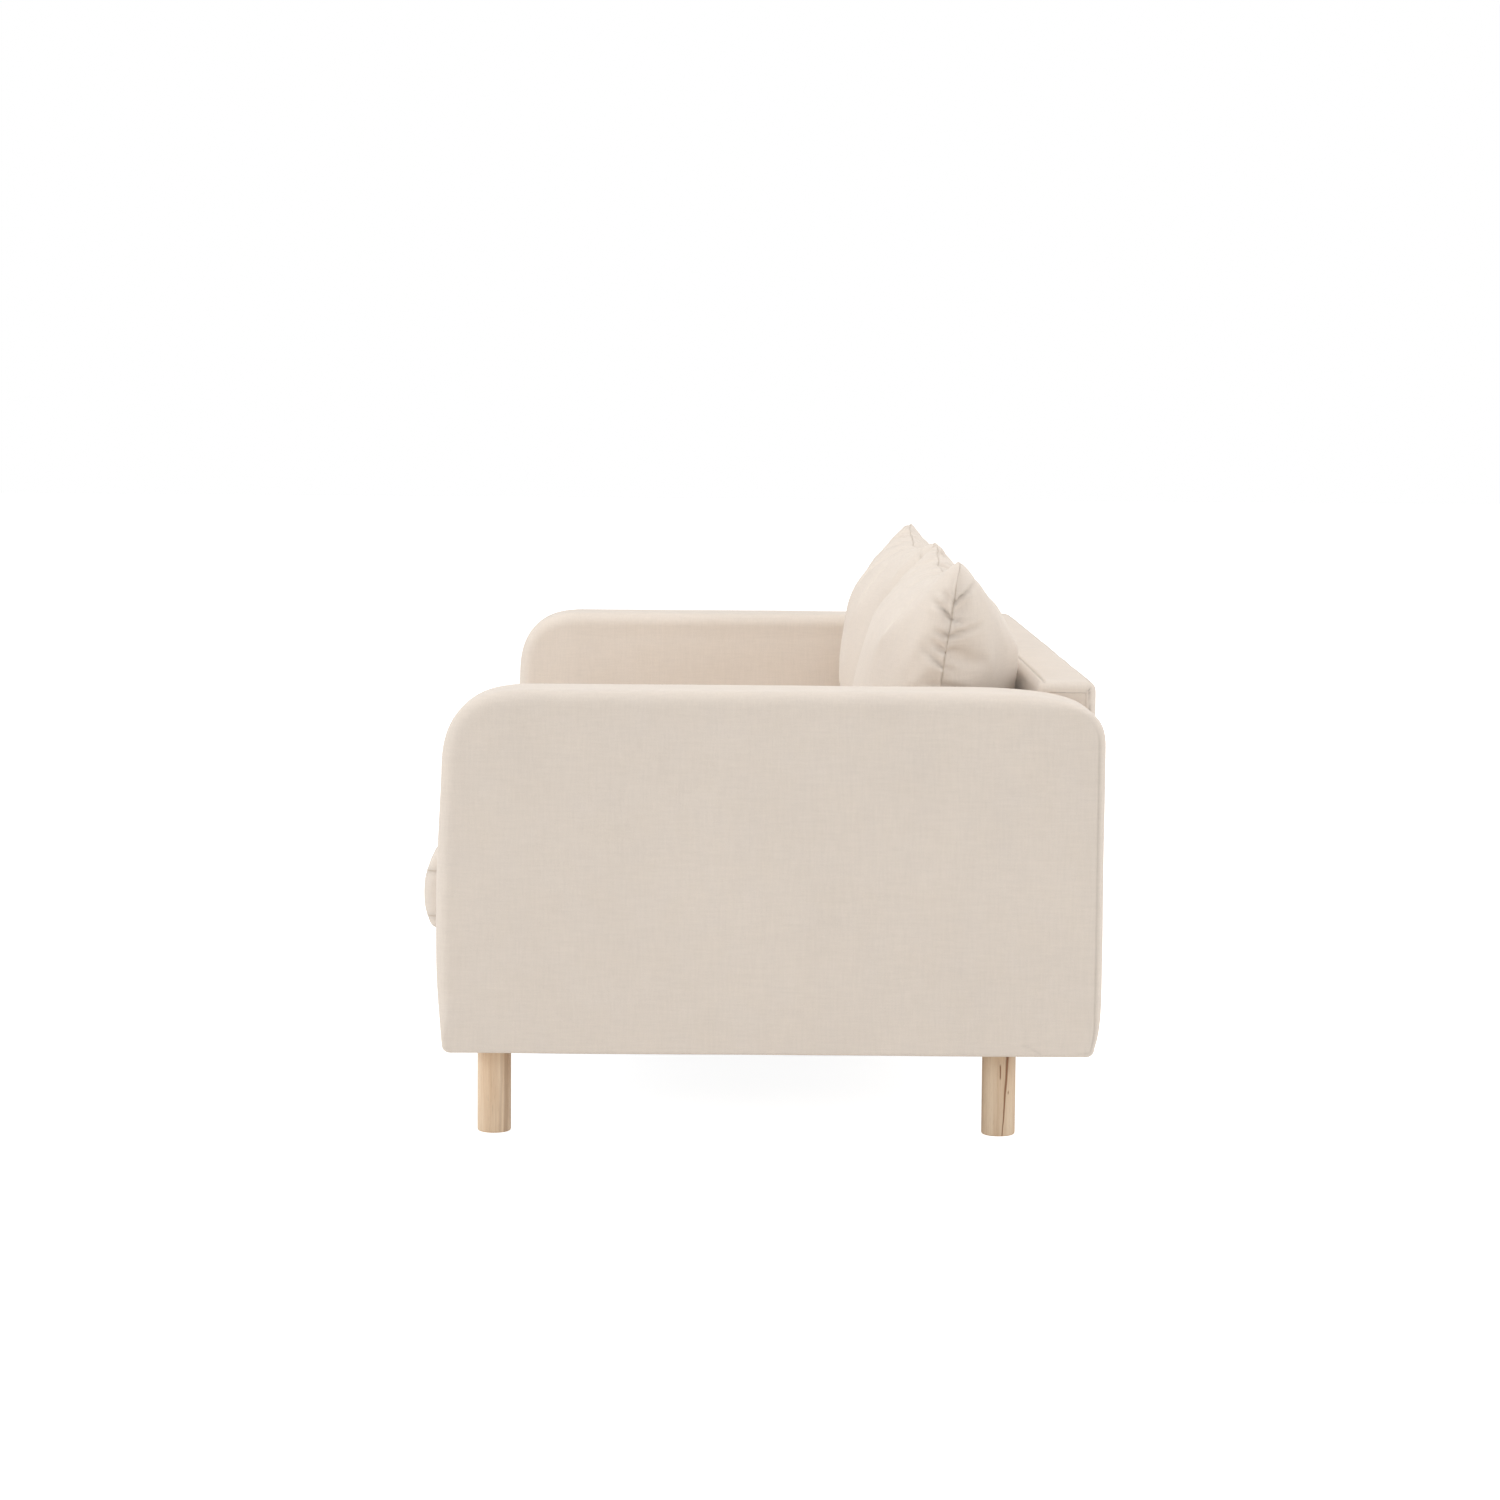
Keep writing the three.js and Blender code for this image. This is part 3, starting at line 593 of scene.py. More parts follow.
def steel():
    m = Nodes("zinc_steel", roughness=0.35, metallic=1.0)
    cloudy = m.noise(m.place, 240, 3, 0.6)
    m.colour(m.mix(cloudy, rgb(176, 178, 180), rgb(208, 209, 208)))
    m.set(Roughness=m.span(cloudy, 0.25, 0.45))
    m.bump(cloudy, 0.00005, 0.4)
    return m.material


# Near-black plastic: the washers' own colour, and in part painted shade for the dark line under the arms.
def dark_plastic_and_shadow_line():
    m = Nodes("dark_plastic_and_shadow_line", roughness=0.5)
    grain = m.noise(m.place, 1800, 2, 0.5)
    m.colour(m.mix(grain, rgb(34, 33, 32), rgb(46, 45, 43)))
    m.bump(grain, 0.0001, 0.5)
    return m.material


def woven(name, light, dark, pitch, depth):
    """A coarse plain weave, from two crossing sets of threads."""
    m = Nodes(name, roughness=0.85)
    warp = m.wave(m.place, 1 / pitch, "X", 0.4)
    weft = m.wave(m.place, 1 / pitch, "Z", 0.4)
    mesh = m.math("MULTIPLY", warp, weft)
    fuzz = m.noise(m.place, 900, 2, 0.5)
    m.colour(m.mix(m.math("MULTIPLY_ADD", fuzz, 0.4, mesh, clamp=True), dark, light))
    m.bump(m.math("MULTIPLY_ADD", fuzz, 0.3, mesh), depth, 0.8)
    return m.material


def felt(name, light, dark):
    """Pressed fibres with no weave."""
    m = Nodes(name, roughness=0.95)
    fibres = m.noise(m.place, 700, 4, 0.7)
    clumps = m.noise(m.place, 60, 3, 0.6)
    m.colour(m.mix(m.math("MULTIPLY_ADD", fibres, 0.6, m.math("MULTIPLY", clumps, 0.4)), dark, light))
    m.bump(fibres, 0.0006, 0.7)
    return m.material


def paint(piece, material):
    piece.data.materials.clear()
    piece.data.materials.append(material)


def dress(piece, material, slot, body, *nodes):
    """Paints a piece, puts it in the place of its CAD nodes and lets it ride on their body."""
    paint(piece, material)
    if nodes:
        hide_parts(*nodes)
    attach(piece, body)


UPHOLSTERY = rgb(222, 209, 195)
cloth = velvet("pale_velvet", UPHOLSTERY)
cushion_cloth = velvet("pale_velvet_cushion", UPHOLSTERY)
# Seam thread, darker than the cloth: as a seam line it is thread and in part painted shade.
thread = felt("seam_thread_and_shade_line", rgb(206, 190, 171), rgb(184, 167, 147))
timber = frame_timber()
metal = steel()
plastic = dark_plastic_and_shadow_line()
deck_felt = felt("deck_felt", rgb(196, 191, 182), rgb(160, 154, 146))
lining = felt("lining", rgb(58, 56, 54), rgb(36, 35, 34))
strap = woven("webbing", rgb(104, 96, 88), rgb(62, 56, 51), 0.004, 0.0006)


# ---- camera, light and floor


CAMERA_PLACE = Vector((5.8182, -0.0286, 0.9823))
CAMERA_PITCH, CAMERA_YAW, CAMERA_ROLL = (math.radians(angle) for angle in (5.408, -0.178, 0.448))
CAMERA_LENS, CAMERA_SENSOR = 89.55, 36  # in millimetres

AMBIENT = 0.55  # light from the white surroundings
FLOOR_GLOW = 0.17  # how far the floor lights the sofa's underside
FLOOR_SHOWN = 0.9  # how bright it looks
FLOOR_HALF = 30
# Soft boxes round the sofa: place, size and power.
LIGHTS = {
    "side": ((6.5, 0.0, 3.2), 3.0, 68),
    "top": ((0.0, 0.0, 5.0), 4.0, 117),
    "front": ((1.0, -5.0, 1.6), 3.0, 86),
    "rear": ((1.0, 5.0, 1.6), 3.0, 70),
}
LIGHTS_AIM = (0, 0, 0.4)
LIGHT_COLOUR = (0.975, 1.0, 1.03)


def add_camera():
    """A camera that looks along -X, a little down."""
    pitch, yaw, roll = CAMERA_PITCH, CAMERA_YAW, CAMERA_ROLL
    ahead = Vector((-math.cos(pitch) * math.cos(yaw), -math.cos(pitch) * math.sin(yaw), -math.sin(pitch)))
    right = ahead.cross(Vector((0, 0, 1))).normalized()
    above = right.cross(ahead)
    turned_right = right * math.cos(roll) + above * math.sin(roll)
    turned_up = above * math.cos(roll) - right * math.sin(roll)
    camera = bpy.data.objects.new("camera", bpy.data.cameras.new("camera"))
    camera.data.lens = CAMERA_LENS
    camera.data.sensor_width = CAMERA_SENSOR
    rotation = Matrix((turned_right, turned_up, -ahead)).transposed()
    camera.matrix_world = Matrix.Translation(CAMERA_PLACE) @ rotation.to_4x4()
    bpy.context.scene.collection.objects.link(camera)
    bpy.context.scene.camera = camera


def add_light(name, place, size, power):
    light = bpy.data.lights.new(name, "AREA")
    light.size = size
    light.energy = power
    light.color = LIGHT_COLOUR
    lamp = bpy.data.objects.new(name, light)
    lamp.location = place
    lamp.rotation_euler = (Vector(LIGHTS_AIM) - Vector(place)).to_track_quat("-Z", "Y").to_euler()
    bpy.context.scene.collection.objects.link(lamp)


def add_studio():
    scene = bpy.context.scene
    world = bpy.data.worlds.new("studio")
    scene.world = world
    world.use_nodes = True
    backdrop = world.node_tree.nodes["Background"]
    backdrop.inputs["Color"].default_value = (1, 1, 1, 1)
    # The backdrop is pure white to look at, and lights the sofa a little less than that.
    seen = world.node_tree.nodes.new("ShaderNodeLightPath")
    strength = world.node_tree.nodes.new("ShaderNodeMapRange")
    strength.inputs["To Min"].default_value = AMBIENT
    strength.inputs["To Max"].default_value = 1.0
    world.node_tree.links.new(seen.outputs["Is Camera Ray"], strength.inputs["Value"])
    world.node_tree.links.new(strength.outputs[0], backdrop.inputs["Strength"])
    scene.view_settings.view_transform = "Standard"
    for name, (place, size, power) in LIGHTS.items():
        add_light(name, place, size, power)
    corners = [(x * FLOOR_HALF, y * FLOOR_HALF, 0) for x, y in ((-1, -1), (1, -1), (1, 1), (-1, 1))]
    floor = new_object("floor", corners, [(0, 1, 2, 3)])
    m = Nodes("floor_paint", roughness=0.9)
    m.colour(m.mix(m.noise(m.place, 3, 2), rgb(222, 222, 221), rgb(226, 226, 225)))
    m.set(Emission_Color=(1, 1, 1, 1))
    shown = m.add("ShaderNodeLightPath").outputs["Is Camera Ray"]
    m.set(Emission_Strength=m.span(shown, FLOOR_GLOW, FLOOR_SHOWN))
    floor.data.materials.append(m.material)


# ---- arms


def arm_loop():
    """The arm's side view: a soft shoulder in front, a tighter one behind, and a front that leans a
    little and tucks under at its foot."""
    front, rear, top, foot = ARM_FRONT, ARM_REAR, ARM_TOP, UNDERSIDE
    corner, shoulder, tuck = 0.011, 0.110, 0.0085
    lean = front + 0.007  # where the front ends under the shoulder
    front_tuck, rear_tuck = (front + tuck, foot + corner), (rear - tuck, foot + corner)
    widest = foot + 0.140
    return chain(
        arc((front_tuck[0] + corner, foot + corner), corner, 180, 270),
        line((front_tuck[0] + corner, foot), (rear_tuck[0] - corner, foot), 60),
        arc((rear_tuck[0] - corner, foot + corner), corner, 270, 360),
        curve(rear_tuck, (rear - 0.001, foot + 0.035), (rear, foot + 0.055), (rear, foot + 0.100)),
        line((rear, foot + 0.100), (rear, top - 0.070)),
        curve((rear, top - 0.070), (rear, top - 0.0245), (rear - 0.019, top), (rear - 0.190, top), 60),
        line((rear - 0.190, top), (lean + shoulder, top), 60),
        soft_corner((lean + shoulder, top), (lean, top), (lean, top - shoulder), 60),
        curve((lean, top - shoulder), (front + 0.002, top - 0.2), (front, widest + 0.08), (front, widest)),
        curve((front, widest), (front, foot + 0.085), (front + 0.004, foot + 0.05), front_tuck)[:-1],
    )


def arm_edge(outline):
    """How far the padding rounds over at each outline point: wide in front and on top, tight elsewhere."""
    y, z = outline[:, 0], outline[:, 1]
    behind = smoothstep(y, ARM_REAR - 0.10, ARM_REAR - 0.012)
    below = smoothstep(z, UNDERSIDE + 0.07, UNDERSIDE + 0.009)
    wide, tight, hem = 0.021, 0.009, 0.0052
    return (wide * (1 - behind) + tight * behind) * (1 - below) + hem * below


# Two small creases low on the left arm's outer face, with painted shade in them: (y, z) from, (y, z) to,
# and depth.
ARM_CREASES = (((0.345, 0.1340), (0.362, 0.1280), 0.0008), ((0.358, 0.1290), (0.377, 0.1185), 0.0012))


def make_arm(side):
    """A padded panel arm, seamed behind, with bare timber underneath."""
    sign = SIDES[side]
    foot = UNDERSIDE
    corners = [(ARM_FRONT, foot), (ARM_REAR, foot), (ARM_REAR, ARM_TOP), (ARM_FRONT, ARM_TOP)]
    sides = sides_of(arm_loop(), corners)
    # Crowded at the lower corners, the rear shoulder and the hem.
    across = stops(0.86, 0.0075, [(0, 0.015, 0.002), (0.93, 0.06, 0.002), (1, 0.015, 0.002)])
    up = stops(0.46, 0.0075, [(0.02, 0.02, 0.002)])
    outline = outline_at(sides, across, up)
    radius = arm_edge(outline)
    rings = padded_rings(ARM_INNER, ARM_OUTER, radius, band=14)
    arm = slab(f"{side}_arm_upholstery", sides, rings, across, up, FACING_SIDE, crown=0.0025)
    points = points_of(arm)
    x, _, z = points.T
    off_middle = (2 * x - ARM_INNER - ARM_OUTER) / (ARM_OUTER - ARM_INNER)
    # The boxing between the faces is crowned too, except underneath.
    swell = 0.0008 * (1 - off_middle**2).clip(0) * smoothstep(z, foot + 0.01, foot + 0.08)
    move_to(arm, points + normals_of(arm) * swell[:, None])
    soften(arm, amount=0.0006, wavelength=0.16, seed=11 + sign)
    bare_board(arm, "left_arm_bottom_rail")
    # A seam runs down the rear edge of both faces, with painted shade in its groove.
    inner_line = outline - outward_of(outline) * radius[:, None]
    behind = (outline[:, 0] > ARM_REAR - 0.05) & (outline[:, 1] < ARM_TOP - 0.02)
    for x in (ARM_OUTER, ARM_INNER):
        seam = [(x, *place) for place in inner_line[behind]]
        press(arm, dense(seam, 0.001), width=0.0014, depth=0.0012, dark=0.3, fade=0.06)
    if side == "left":
        for start, end, depth in ARM_CREASES:
            crease = line((ARM_OUTER + 0.0015, *start), (ARM_OUTER + 0.0015, *end), 30)
            press(arm, crease, width=0.0015, depth=depth, dark=0.5, fade=0.006)
    if sign < 0:
        mirror(arm)
    dress(arm, cloth, "upholstery", "frame", f"{side}_arm_cover")


def bare_board(piece, board):
    """Keeps cloth off the underside of a frame board, so that the board's face shows there."""
    low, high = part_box(board)
    points = points_of(piece)
    x, y, z = points.T
    under = (x > low.x) & (x < high.x) & (y > low.y) & (y < high.y) & (z < low.z + 0.003)
    z[under] = low.z + 0.004
    move_to(piece, points)


# ---- back


def make_back():
    """The padded back between the arms, with two seams along its top and one at each end."""
    rear, top, foot = back_high.y, back_high.z + BACK_PLUMP, UNDERSIDE
    top_front = rear - BACK_TOP_DEPTH
    corner = BACK_CORNER
    hem = 0.006
    lip, face_top = (top_front + corner, top), (top_front - 0.001, top - corner)
    loop = chain(
        line((back_low.y + 0.004, foot), (rear - hem, foot), 30),
        arc((rear - hem, foot + hem), hem, 270, 360, 8),
        line((rear, foot + hem), (rear, top - corner), 60),
        soft_corner((rear, top - corner), (rear, top), (rear - corner, top), 24),
        line((rear - corner, top), lip, 30),
        curve(lip, (top_front + 0.3 * corner, top), (top_front, top - 0.4 * corner), face_top, 24),
        line(face_top, (back_low.y, foot + 0.004), 60)[:-1],
    )
    corners = [(back_low.y, foot), (rear, foot), (rear, top), (top_front, top)]
    sides = sides_of(loop, corners)
    top_line = arc_length(sides[2])
    seams = np.interp((rear - BACK_TOP_SEAM, rear - 0.007), sides[2][:, 0], top_line / top_line[-1])
    across = stops(0.10, 0.006, [(share, 0.006, 0.001) for share in seams])
    up = stops(0.47, 0.010, [(0.98, 0.012, 0.003)])
    half = ARM_INNER - 0.0015
    ring_height = outline_at(sides, across, up)[:, 1]
    radius = 0.004 + 0.009 * smoothstep(ring_height, top - 0.15, top - 0.03)
    rings = padded_rings(-half, half, radius, band=190, spread=(1.12,))
    back = slab("back_upholstery", sides, rings, across, up, FACING_SIDE)
    points = points_of(back)
    x, y, z = points.T
    # Foam crowns the inner face and the top between the seams.
    inside = smoothstep(y, rear - 0.06, rear - 0.10) * smoothstep(z, foot, foot + 0.1)
    ends = 1 - np.abs(x / half) ** 10
    y -= 0.005 * inside * ends
    crown = 0.0025
    over_top = np.sin(np.pi * ((y - top_front) / BACK_TOP_DEPTH).clip(0, 1))
    z += crown * over_top * smoothstep(z, top - 0.02, top) * ends
    move_to(back, points)
    soften(back, amount=0.0007, wavelength=0.18, seed=5)
    bare_board(back, "back_bottom_rail")
    # Its top seams and end seams are pressed in, with painted shade in their grooves.
    for share in seams:
        y, z = at_stops(sides[2], np.array([share]))[0]
        lift = crown * math.sin(math.pi * min(max((y - top_front) / BACK_TOP_DEPTH, 0), 1))
        across_top = line((-half, y, z + lift), (half, y, z + lift), 900)
        press(back, across_top, width=0.0014, depth=0.0016, dark=0.6)
    for x in (-half, half):
        down_end = line((x, rear - 0.009, top - 0.002), (x, rear - 0.009, top - 0.12))
        press(back, down_end, width=0.0016, depth=0.0010)
    dress(back, cloth, "upholstery", "frame", "back_cover")


# ---- seat base


def make_front_border():
    """The padded wrap over the base's front rail: a face, a top lip and a foot lip."""
    front, lip = border_low.y, border_high.y
    foot, top = border_low.z, border_high.z
    rail_low, rail_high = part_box("base_front_rail")
    clear, lower, upper = 0.0005, 0.010, 0.016
    skin_front, skin_low, skin_high = rail_low.y - clear, rail_low.z - clear, rail_high.z + clear
    outer = chain(
        line((lip, foot), (front + lower, foot), 10),
        arc((front + lower, foot + lower), lower, 270, 180, 12),
        line((front, foot + lower), (front, top - upper), 40),
        arc((front + upper, top - upper), upper, 180, 90, 14),
        line((front + upper, top), (lip, top), 10),
    )
    inner = chain(
        line((lip, skin_low), (skin_front, skin_low), 10),
        line((skin_front, skin_low), (skin_front, skin_high), 40),
        line((skin_front, skin_high), (lip, skin_high), 10),
    )
    sides = (line(outer[0], inner[0], 6), inner, line(outer[-1], inner[-1], 6), outer)
    across = stops(0.02, 0.004)
    up = stops(arc_length(outer)[-1], 0.005)
    half = ARM_INNER - 0.002
    stations = [(0, x) for x in np.linspace(half, -half, 160)]
    border = slab("front_border", sides, stations, across, up, FACING_SIDE)
    points = points_of(border)
    x, y, z = points.T
    # Its face is plump in the middle.
    on_face = smoothstep(y, front + 0.012, front)
    height = (z - foot) / (top - foot)
    ends = 1 - np.abs(x / half) ** 12
    y -= 0.004 * on_face * np.sin(np.pi * height.clip(0, 1)) * ends
    move_to(border, points)
    soften(border, amount=0.0005, wavelength=0.15, seed=21)
    # The hem is pressed in, with faint painted shade along it.
    hem_y, hem_z = front - 0.0005, foot + 0.012
    hem = line((-half, hem_y, hem_z), (half, hem_y, hem_z), 700)
    press(border, hem, width=0.0018, depth=0.0007, dark=0.3)
    dress(border, cloth, "upholstery", "frame", "base_front_border")


def rounded_rectangle(low, high, corner):
    """The four sides of a rectangle between two corners, with its corners rounded."""
    (x0, y0), (x1, y1) = low[:2], high[:2]
    loop = chain(
        arc((x0 + corner, y0 + corner), corner, 180, 270),
        arc((x1 - corner, y0 + corner), corner, 270, 360),
        arc((x1 - corner, y1 - corner), corner, 0, 90),
        arc((x0 + corner, y1 - corner), corner, 90, 180),
    )
    loop = dense(np.vstack([loop, loop[:1]]), 0.003)[:-1]
    return sides_of(loop, [(x0, y0), (x1, y0), (x1, y1), (x0, y1)])


def make_deck():
    """The padded deck over the springs, with a row of stitching behind its front edge."""
    low, high = deck_low, deck_high
    sides = rounded_rectangle(low, high, 0.012)
    across = stops(high.x - low.x, 0.014)
    stitched = 0.10
    up = stops(high.y - low.y, 0.012, [(stitched, 0.012, 0.003)])
    radius = np.full(2 * (len(across) + len(up)) - 4, 0.004)
    rings = padded_rings(low.z, high.z, radius, band=1, turns=4)
    deck = slab("seat_deck_padding", sides, rings, across, up, LYING_FLAT)
    y = low.y + stitched * (high.y - low.y)
    stitching = line((low.x + 0.01, y, high.z), (high.x - 0.01, y, high.z), 900)
    press(deck, stitching, width=0.003, depth=0.0015, dark=0.4)
    dress(deck, deck_felt, "deck_felt", "frame", "seat_deck")


def make_dust_cover():
    """The thin lining stapled under the base, sagging a little between its rails."""
    low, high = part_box("base_dust_cover")
    sides = rounded_rectangle(low, high, 0.004)
    across = stops(high.x - low.x, 0.016)
    up = stops(high.y - low.y, 0.016)
    thick = 0.0008
    cover = slab("dust_cover", sides, [(0, high.z), (0, high.z - thick)], across, up, LYING_FLAT)
    points = points_of(cover)
    x, y, z = points.T
    # It hangs deepest in the middle of each of its two bays.
    bay_half, depth_half = (high.x - low.x) / 4, (high.y - low.y) / 2
    bay = np.abs(np.abs(x) - bay_half) / bay_half
    off_middle = np.abs(y - (high.y + low.y) / 2) / depth_half
    sag = (1 - bay.clip(0, 1) ** 4) * (1 - off_middle.clip(0, 1) ** 4)
    z -= 0.0022 * sag + 0.0004 * sag * ripple(points, 0.09, 3)
    move_to(cover, points)
    dress(cover, lining, "lining", "frame", "base_dust_cover")


def make_staples():
    """Staples that hold the dust cover to the base's front and rear rails and end rails."""
    low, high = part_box("base_dust_cover")
    inset, pitch = 0.012, 0.045
    wire, crown, rise = 0.0006, 0.010, 0.0006
    z = high.z - 0.0010
    count_x = int((high.x - low.x - 2 * inset) / pitch)
    count_y = int((high.y - low.y - 4 * inset) / pitch)
    places = []
    for y in (low.y + inset, high.y - inset):
        places += [(x, y, False) for x in np.linspace(low.x + inset, high.x - inset, count_x)]
    for x in (low.x + inset, high.x - inset):
        places += [(x, y, True) for y in np.linspace(low.y + 2 * inset, high.y - 2 * inset, count_y)]
    points, faces = [], []
    for x, y, turned in places:
        half = (wire, crown / 2) if turned else (crown / 2, wire)
        start = len(points)
        for drop, share in ((0, 1.0), (rise, 0.85)):
            for sx, sy in ((-1, -1), (1, -1), (1, 1), (-1, 1)):
                points.append((x + sx * half[0] * share, y + sy * half[1] * share, z - drop))
        quads = [(0, 1, 2, 3), (7, 6, 5, 4), (1, 0, 4, 5), (2, 1, 5, 6), (3, 2, 6, 7), (0, 3, 7, 4)]
        faces += [tuple(start + k for k in quad) for quad in quads]
    staples = new_object("dust_cover_staples", points, faces, smooth=False)
    dress(staples, metal, "steel", "frame")


def make_spring(name):
    """A zigzag spring of round wire, from the front rail to the rear one."""
    middle, size = place_of(name)
    wire, bends = size.z / 2, 26
    swing, step = size.x / 2 - wire, size.y / bends
    start, reach = middle.y - size.y / 2, 0.42 * step
    turn = np.linspace(-math.pi / 2, math.pi / 2, 9)
    path = [(middle.x, start + wire, middle.z)]
    for i in range(1, bends):
        side = 1 if i % 2 else -1
        x, y = middle.x + side * swing, start + i * step
        path += [(x - side * reach * (1 - math.cos(a)), y + reach * math.sin(a), middle.z) for a in turn]
    path.append((middle.x, start + size.y - wire, middle.z))
    spring = tube(f"{name}_wire", path, wire * 0.95)
    dress(spring, metal, "steel", "frame", name)


def make_webbing(name):
    """A woven elastic strap across the back's stiles."""
    low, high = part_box(name)
    width, thick = 0.06, 0.003
    foot_front, foot_rear = (low.y, low.z), (low.y + thick, low.z)
    head_front, head_rear = (high.y - thick, high.z), (high.y, high.z)
    foot, head = (foot_front, foot_rear), (head_front, head_rear)
    sides = [line(*ends, 20) for ends in (foot, (foot_rear, head_rear), head, (foot_front, head_front))]
    stations = [(0, x) for x in np.linspace(high.x, low.x, 150)]
    across, up = stops(thick, 0.001), stops(width, 0.004)
    webbing = slab(f"{name}_strap", sides, stations, across, up, FACING_SIDE)
    dress(webbing, strap, "webbing", "frame", name)


# ---- frame and fittings

ARM_BOARDS = ("bottom_rail", "top_rail", "front_post", "rear_post")
BACK_BOARDS = ("bottom_rail", "top_rail", "left_stile", "right_stile", "centre_stile")
BOARDS = (
    [f"base_{place}_rail" for place in ("front", "rear", "centre", "left", "right")]
    + [f"{side}_arm_{board}" for side in SIDES for board in ARM_BOARDS]
    + [f"back_{board}" for board in BACK_BOARDS]
)


def finish_boards():
    """The CAD's boards stay, with sawn edges eased and a timber finish."""
    for name in BOARDS:
        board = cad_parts[name]
        ease = board.modifiers.new("eased_edges", "BEVEL")
        ease.width = 0.0015
        ease.segments = 2
        ease.limit_method = "ANGLE"
        paint(board, timber)


THREAD_RADIUS = 0.004


def threaded_rod(name, radius, length):
    """A closed M8 rod along local Z from 0, with a helical thread along all of it."""
    pitch, rows_per_turn, segments = 0.00125, 6, 24
    depth = 0.61 * pitch
    count = int(length / pitch * rows_per_turn)
    angles = np.linspace(0, 2 * math.pi, segments, endpoint=False)
    rows = [[(0, 0, 0)]]
    for z in length * np.arange(count + 1) / count:
        phase = (z / pitch - angles / (2 * math.pi)) % 1
        taper = min(1, min(z, length - z) / pitch + 0.3)
        radii = radius - depth * np.abs(2 * phase - 1) - 0.3 * depth * (1 - taper)
        rows.append(round_row(radii, z, angles))
    return skin(name, rows + [[(0, 0, length)]])


def make_bolt(name):
    """A headed bolt along X, from inside the base into the arm."""
    middle, size = place_of(name)
    side = 1 if middle.x > 0 else -1
    radius, ease, head_height, into_head = 0.0065, 0.0006, 0.0055, 0.001
    length = size.x - head_height + into_head
    shank = threaded_rod(f"{name}_shank", THREAD_RADIUS, length)
    foot = [(0, 0), (radius - ease, 0), (radius, ease)]
    face = [(radius, head_height - ease), (radius - ease, head_height), (0, head_height)]
    head = lathe(f"{name}_head", foot + face, segments=6)
    head.data.polygons.foreach_set("use_smooth", [False] * len(head.data.polygons))
    turn = Matrix.Rotation(math.radians(90 * side), 4, "Y")
    for piece, along in ((shank, size.x / 2 - length), (head, -size.x / 2)):
        place = middle + Vector((side * along, 0, 0))
        piece.matrix_world = Matrix.Translation(place) @ turn
        dress(piece, metal, "steel", "frame", name)


# Painted light: the leg wood is made lighter on the front legs and a little darker on the rear ones, for
# how the light falls on them.
LEG_PAINTED_LIGHT = {"front": 1.10, "rear": 0.98}
# Brown streaks in the legs: (y, z) from, (y, z) to, half widths at both, and how dark.
LEG_STREAKS = {
    "front_left": [
        ((0.0095, 0.0), (0.0115, 0.118), 0.0024, 0.0032, 0.22),
        ((0.0165, 0.0), (0.0175, 0.118), 0.0040, 0.0044, 0.40),
    ],
    "rear_left": [
        ((0.0040, 0.0), (0.0108, 0.118), 0.0008, 0.0032, 0.95),
        ((0.0008, 0.078), (0.0000, 0.097), 0.0012, 0.0012, 0.95),
        ((0.0118, 0.0580), (0.0118, 0.0610), 0.0013, 0.0013, 1.0),
    ],
    "front_right": [((-0.0080, 0.0), (-0.0060, 0.118), 0.0010, 0.0020, 0.4)],
    "rear_right": [],
}


def make_leg(end, side, seed):
    """A turned leg with eased ends and a blind bore for its stud."""
    body = f"{end}_{side}_leg"
    middle, size = place_of(body)
    radius, top = size.x / 2, size.z
    ease, edge, bore, depth, chamfer = 0.0030, 0.0006, 0.0043, 0.032, 0.0008
    foot = [(0, 0), (radius * 0.5, 0), (radius - 1.5 * ease, 0)]
    rounding = arc((radius - ease, ease), ease, 270, 360, 7)
    shaft = line((radius, ease), (radius, top - edge), 14)[1:-1]
    upper = arc((radius - edge, top - edge), edge, 0, 90, 4)
    inner = [(bore + chamfer, top), (bore, top - chamfer), (bore, top - depth), (0, top - depth - 0.002)]
    leg = lathe(f"{body}_turning", np.vstack([foot, rounding, shaft, upper, inner]), segments=72)
    leg.location = (middle.x, middle.y, 0)
    wood = leg_wood(f"leg_wood_{end}_{side}", seed, LEG_PAINTED_LIGHT[end], LEG_STREAKS[f"{end}_{side}"])
    dress(leg, wood, "leg_wood", body, body)


def make_stud(leg):
    middle, size = place_of(f"{leg}_stud")
    stud = threaded_rod(f"{leg}_thread", size.x / 2, size.z)
    stud.location = middle - Vector((0, 0, size.z / 2))
    dress(stud, metal, "steel", leg, f"{leg}_stud")


def make_washer(leg):
    """A flat ring with eased edges between a leg and its arm; its near-black stands in part for the shadow
    line there.
    """
    middle, size = place_of(f"{leg}_washer")
    outer, hole, thick, ease = size.x / 2, 0.0045, size.z, 0.0003
    foot = [(hole, ease), (hole + ease, 0), (outer - ease, 0), (outer, ease)]
    section = foot + [(radius, thick - z) for radius, z in foot[::-1]] + foot[:1]
    washer = lathe(f"{leg}_washer_ring", section, segments=48)
    washer.location = middle - Vector((0, 0, thick / 2))
    dress(washer, plastic, "washer_plastic", f"{leg}_washer", f"{leg}_washer")


# ---- cushions


INFLATE_FRAMES = 30
# Closely woven cloth, blown up to a volume. Its seams shrink a little, so they pucker.
INFLATED_CLOTH = {
    "quality": 5,
    "mass": 0.3,
    "tension_stiffness": 40,
    "compression_stiffness": 40,
    "shear_stiffness": 40 / 3,
    "bending_stiffness": 2,
    "air_damping": 1,
    "use_pressure": True,
    "uniform_pressure_force": 12,
    "use_pressure_volume": True,
    "target_volume": PILLOW_VOLUME,
    "vertex_group_shrink": "sewn",
    "shrink_max": 0.05,
}


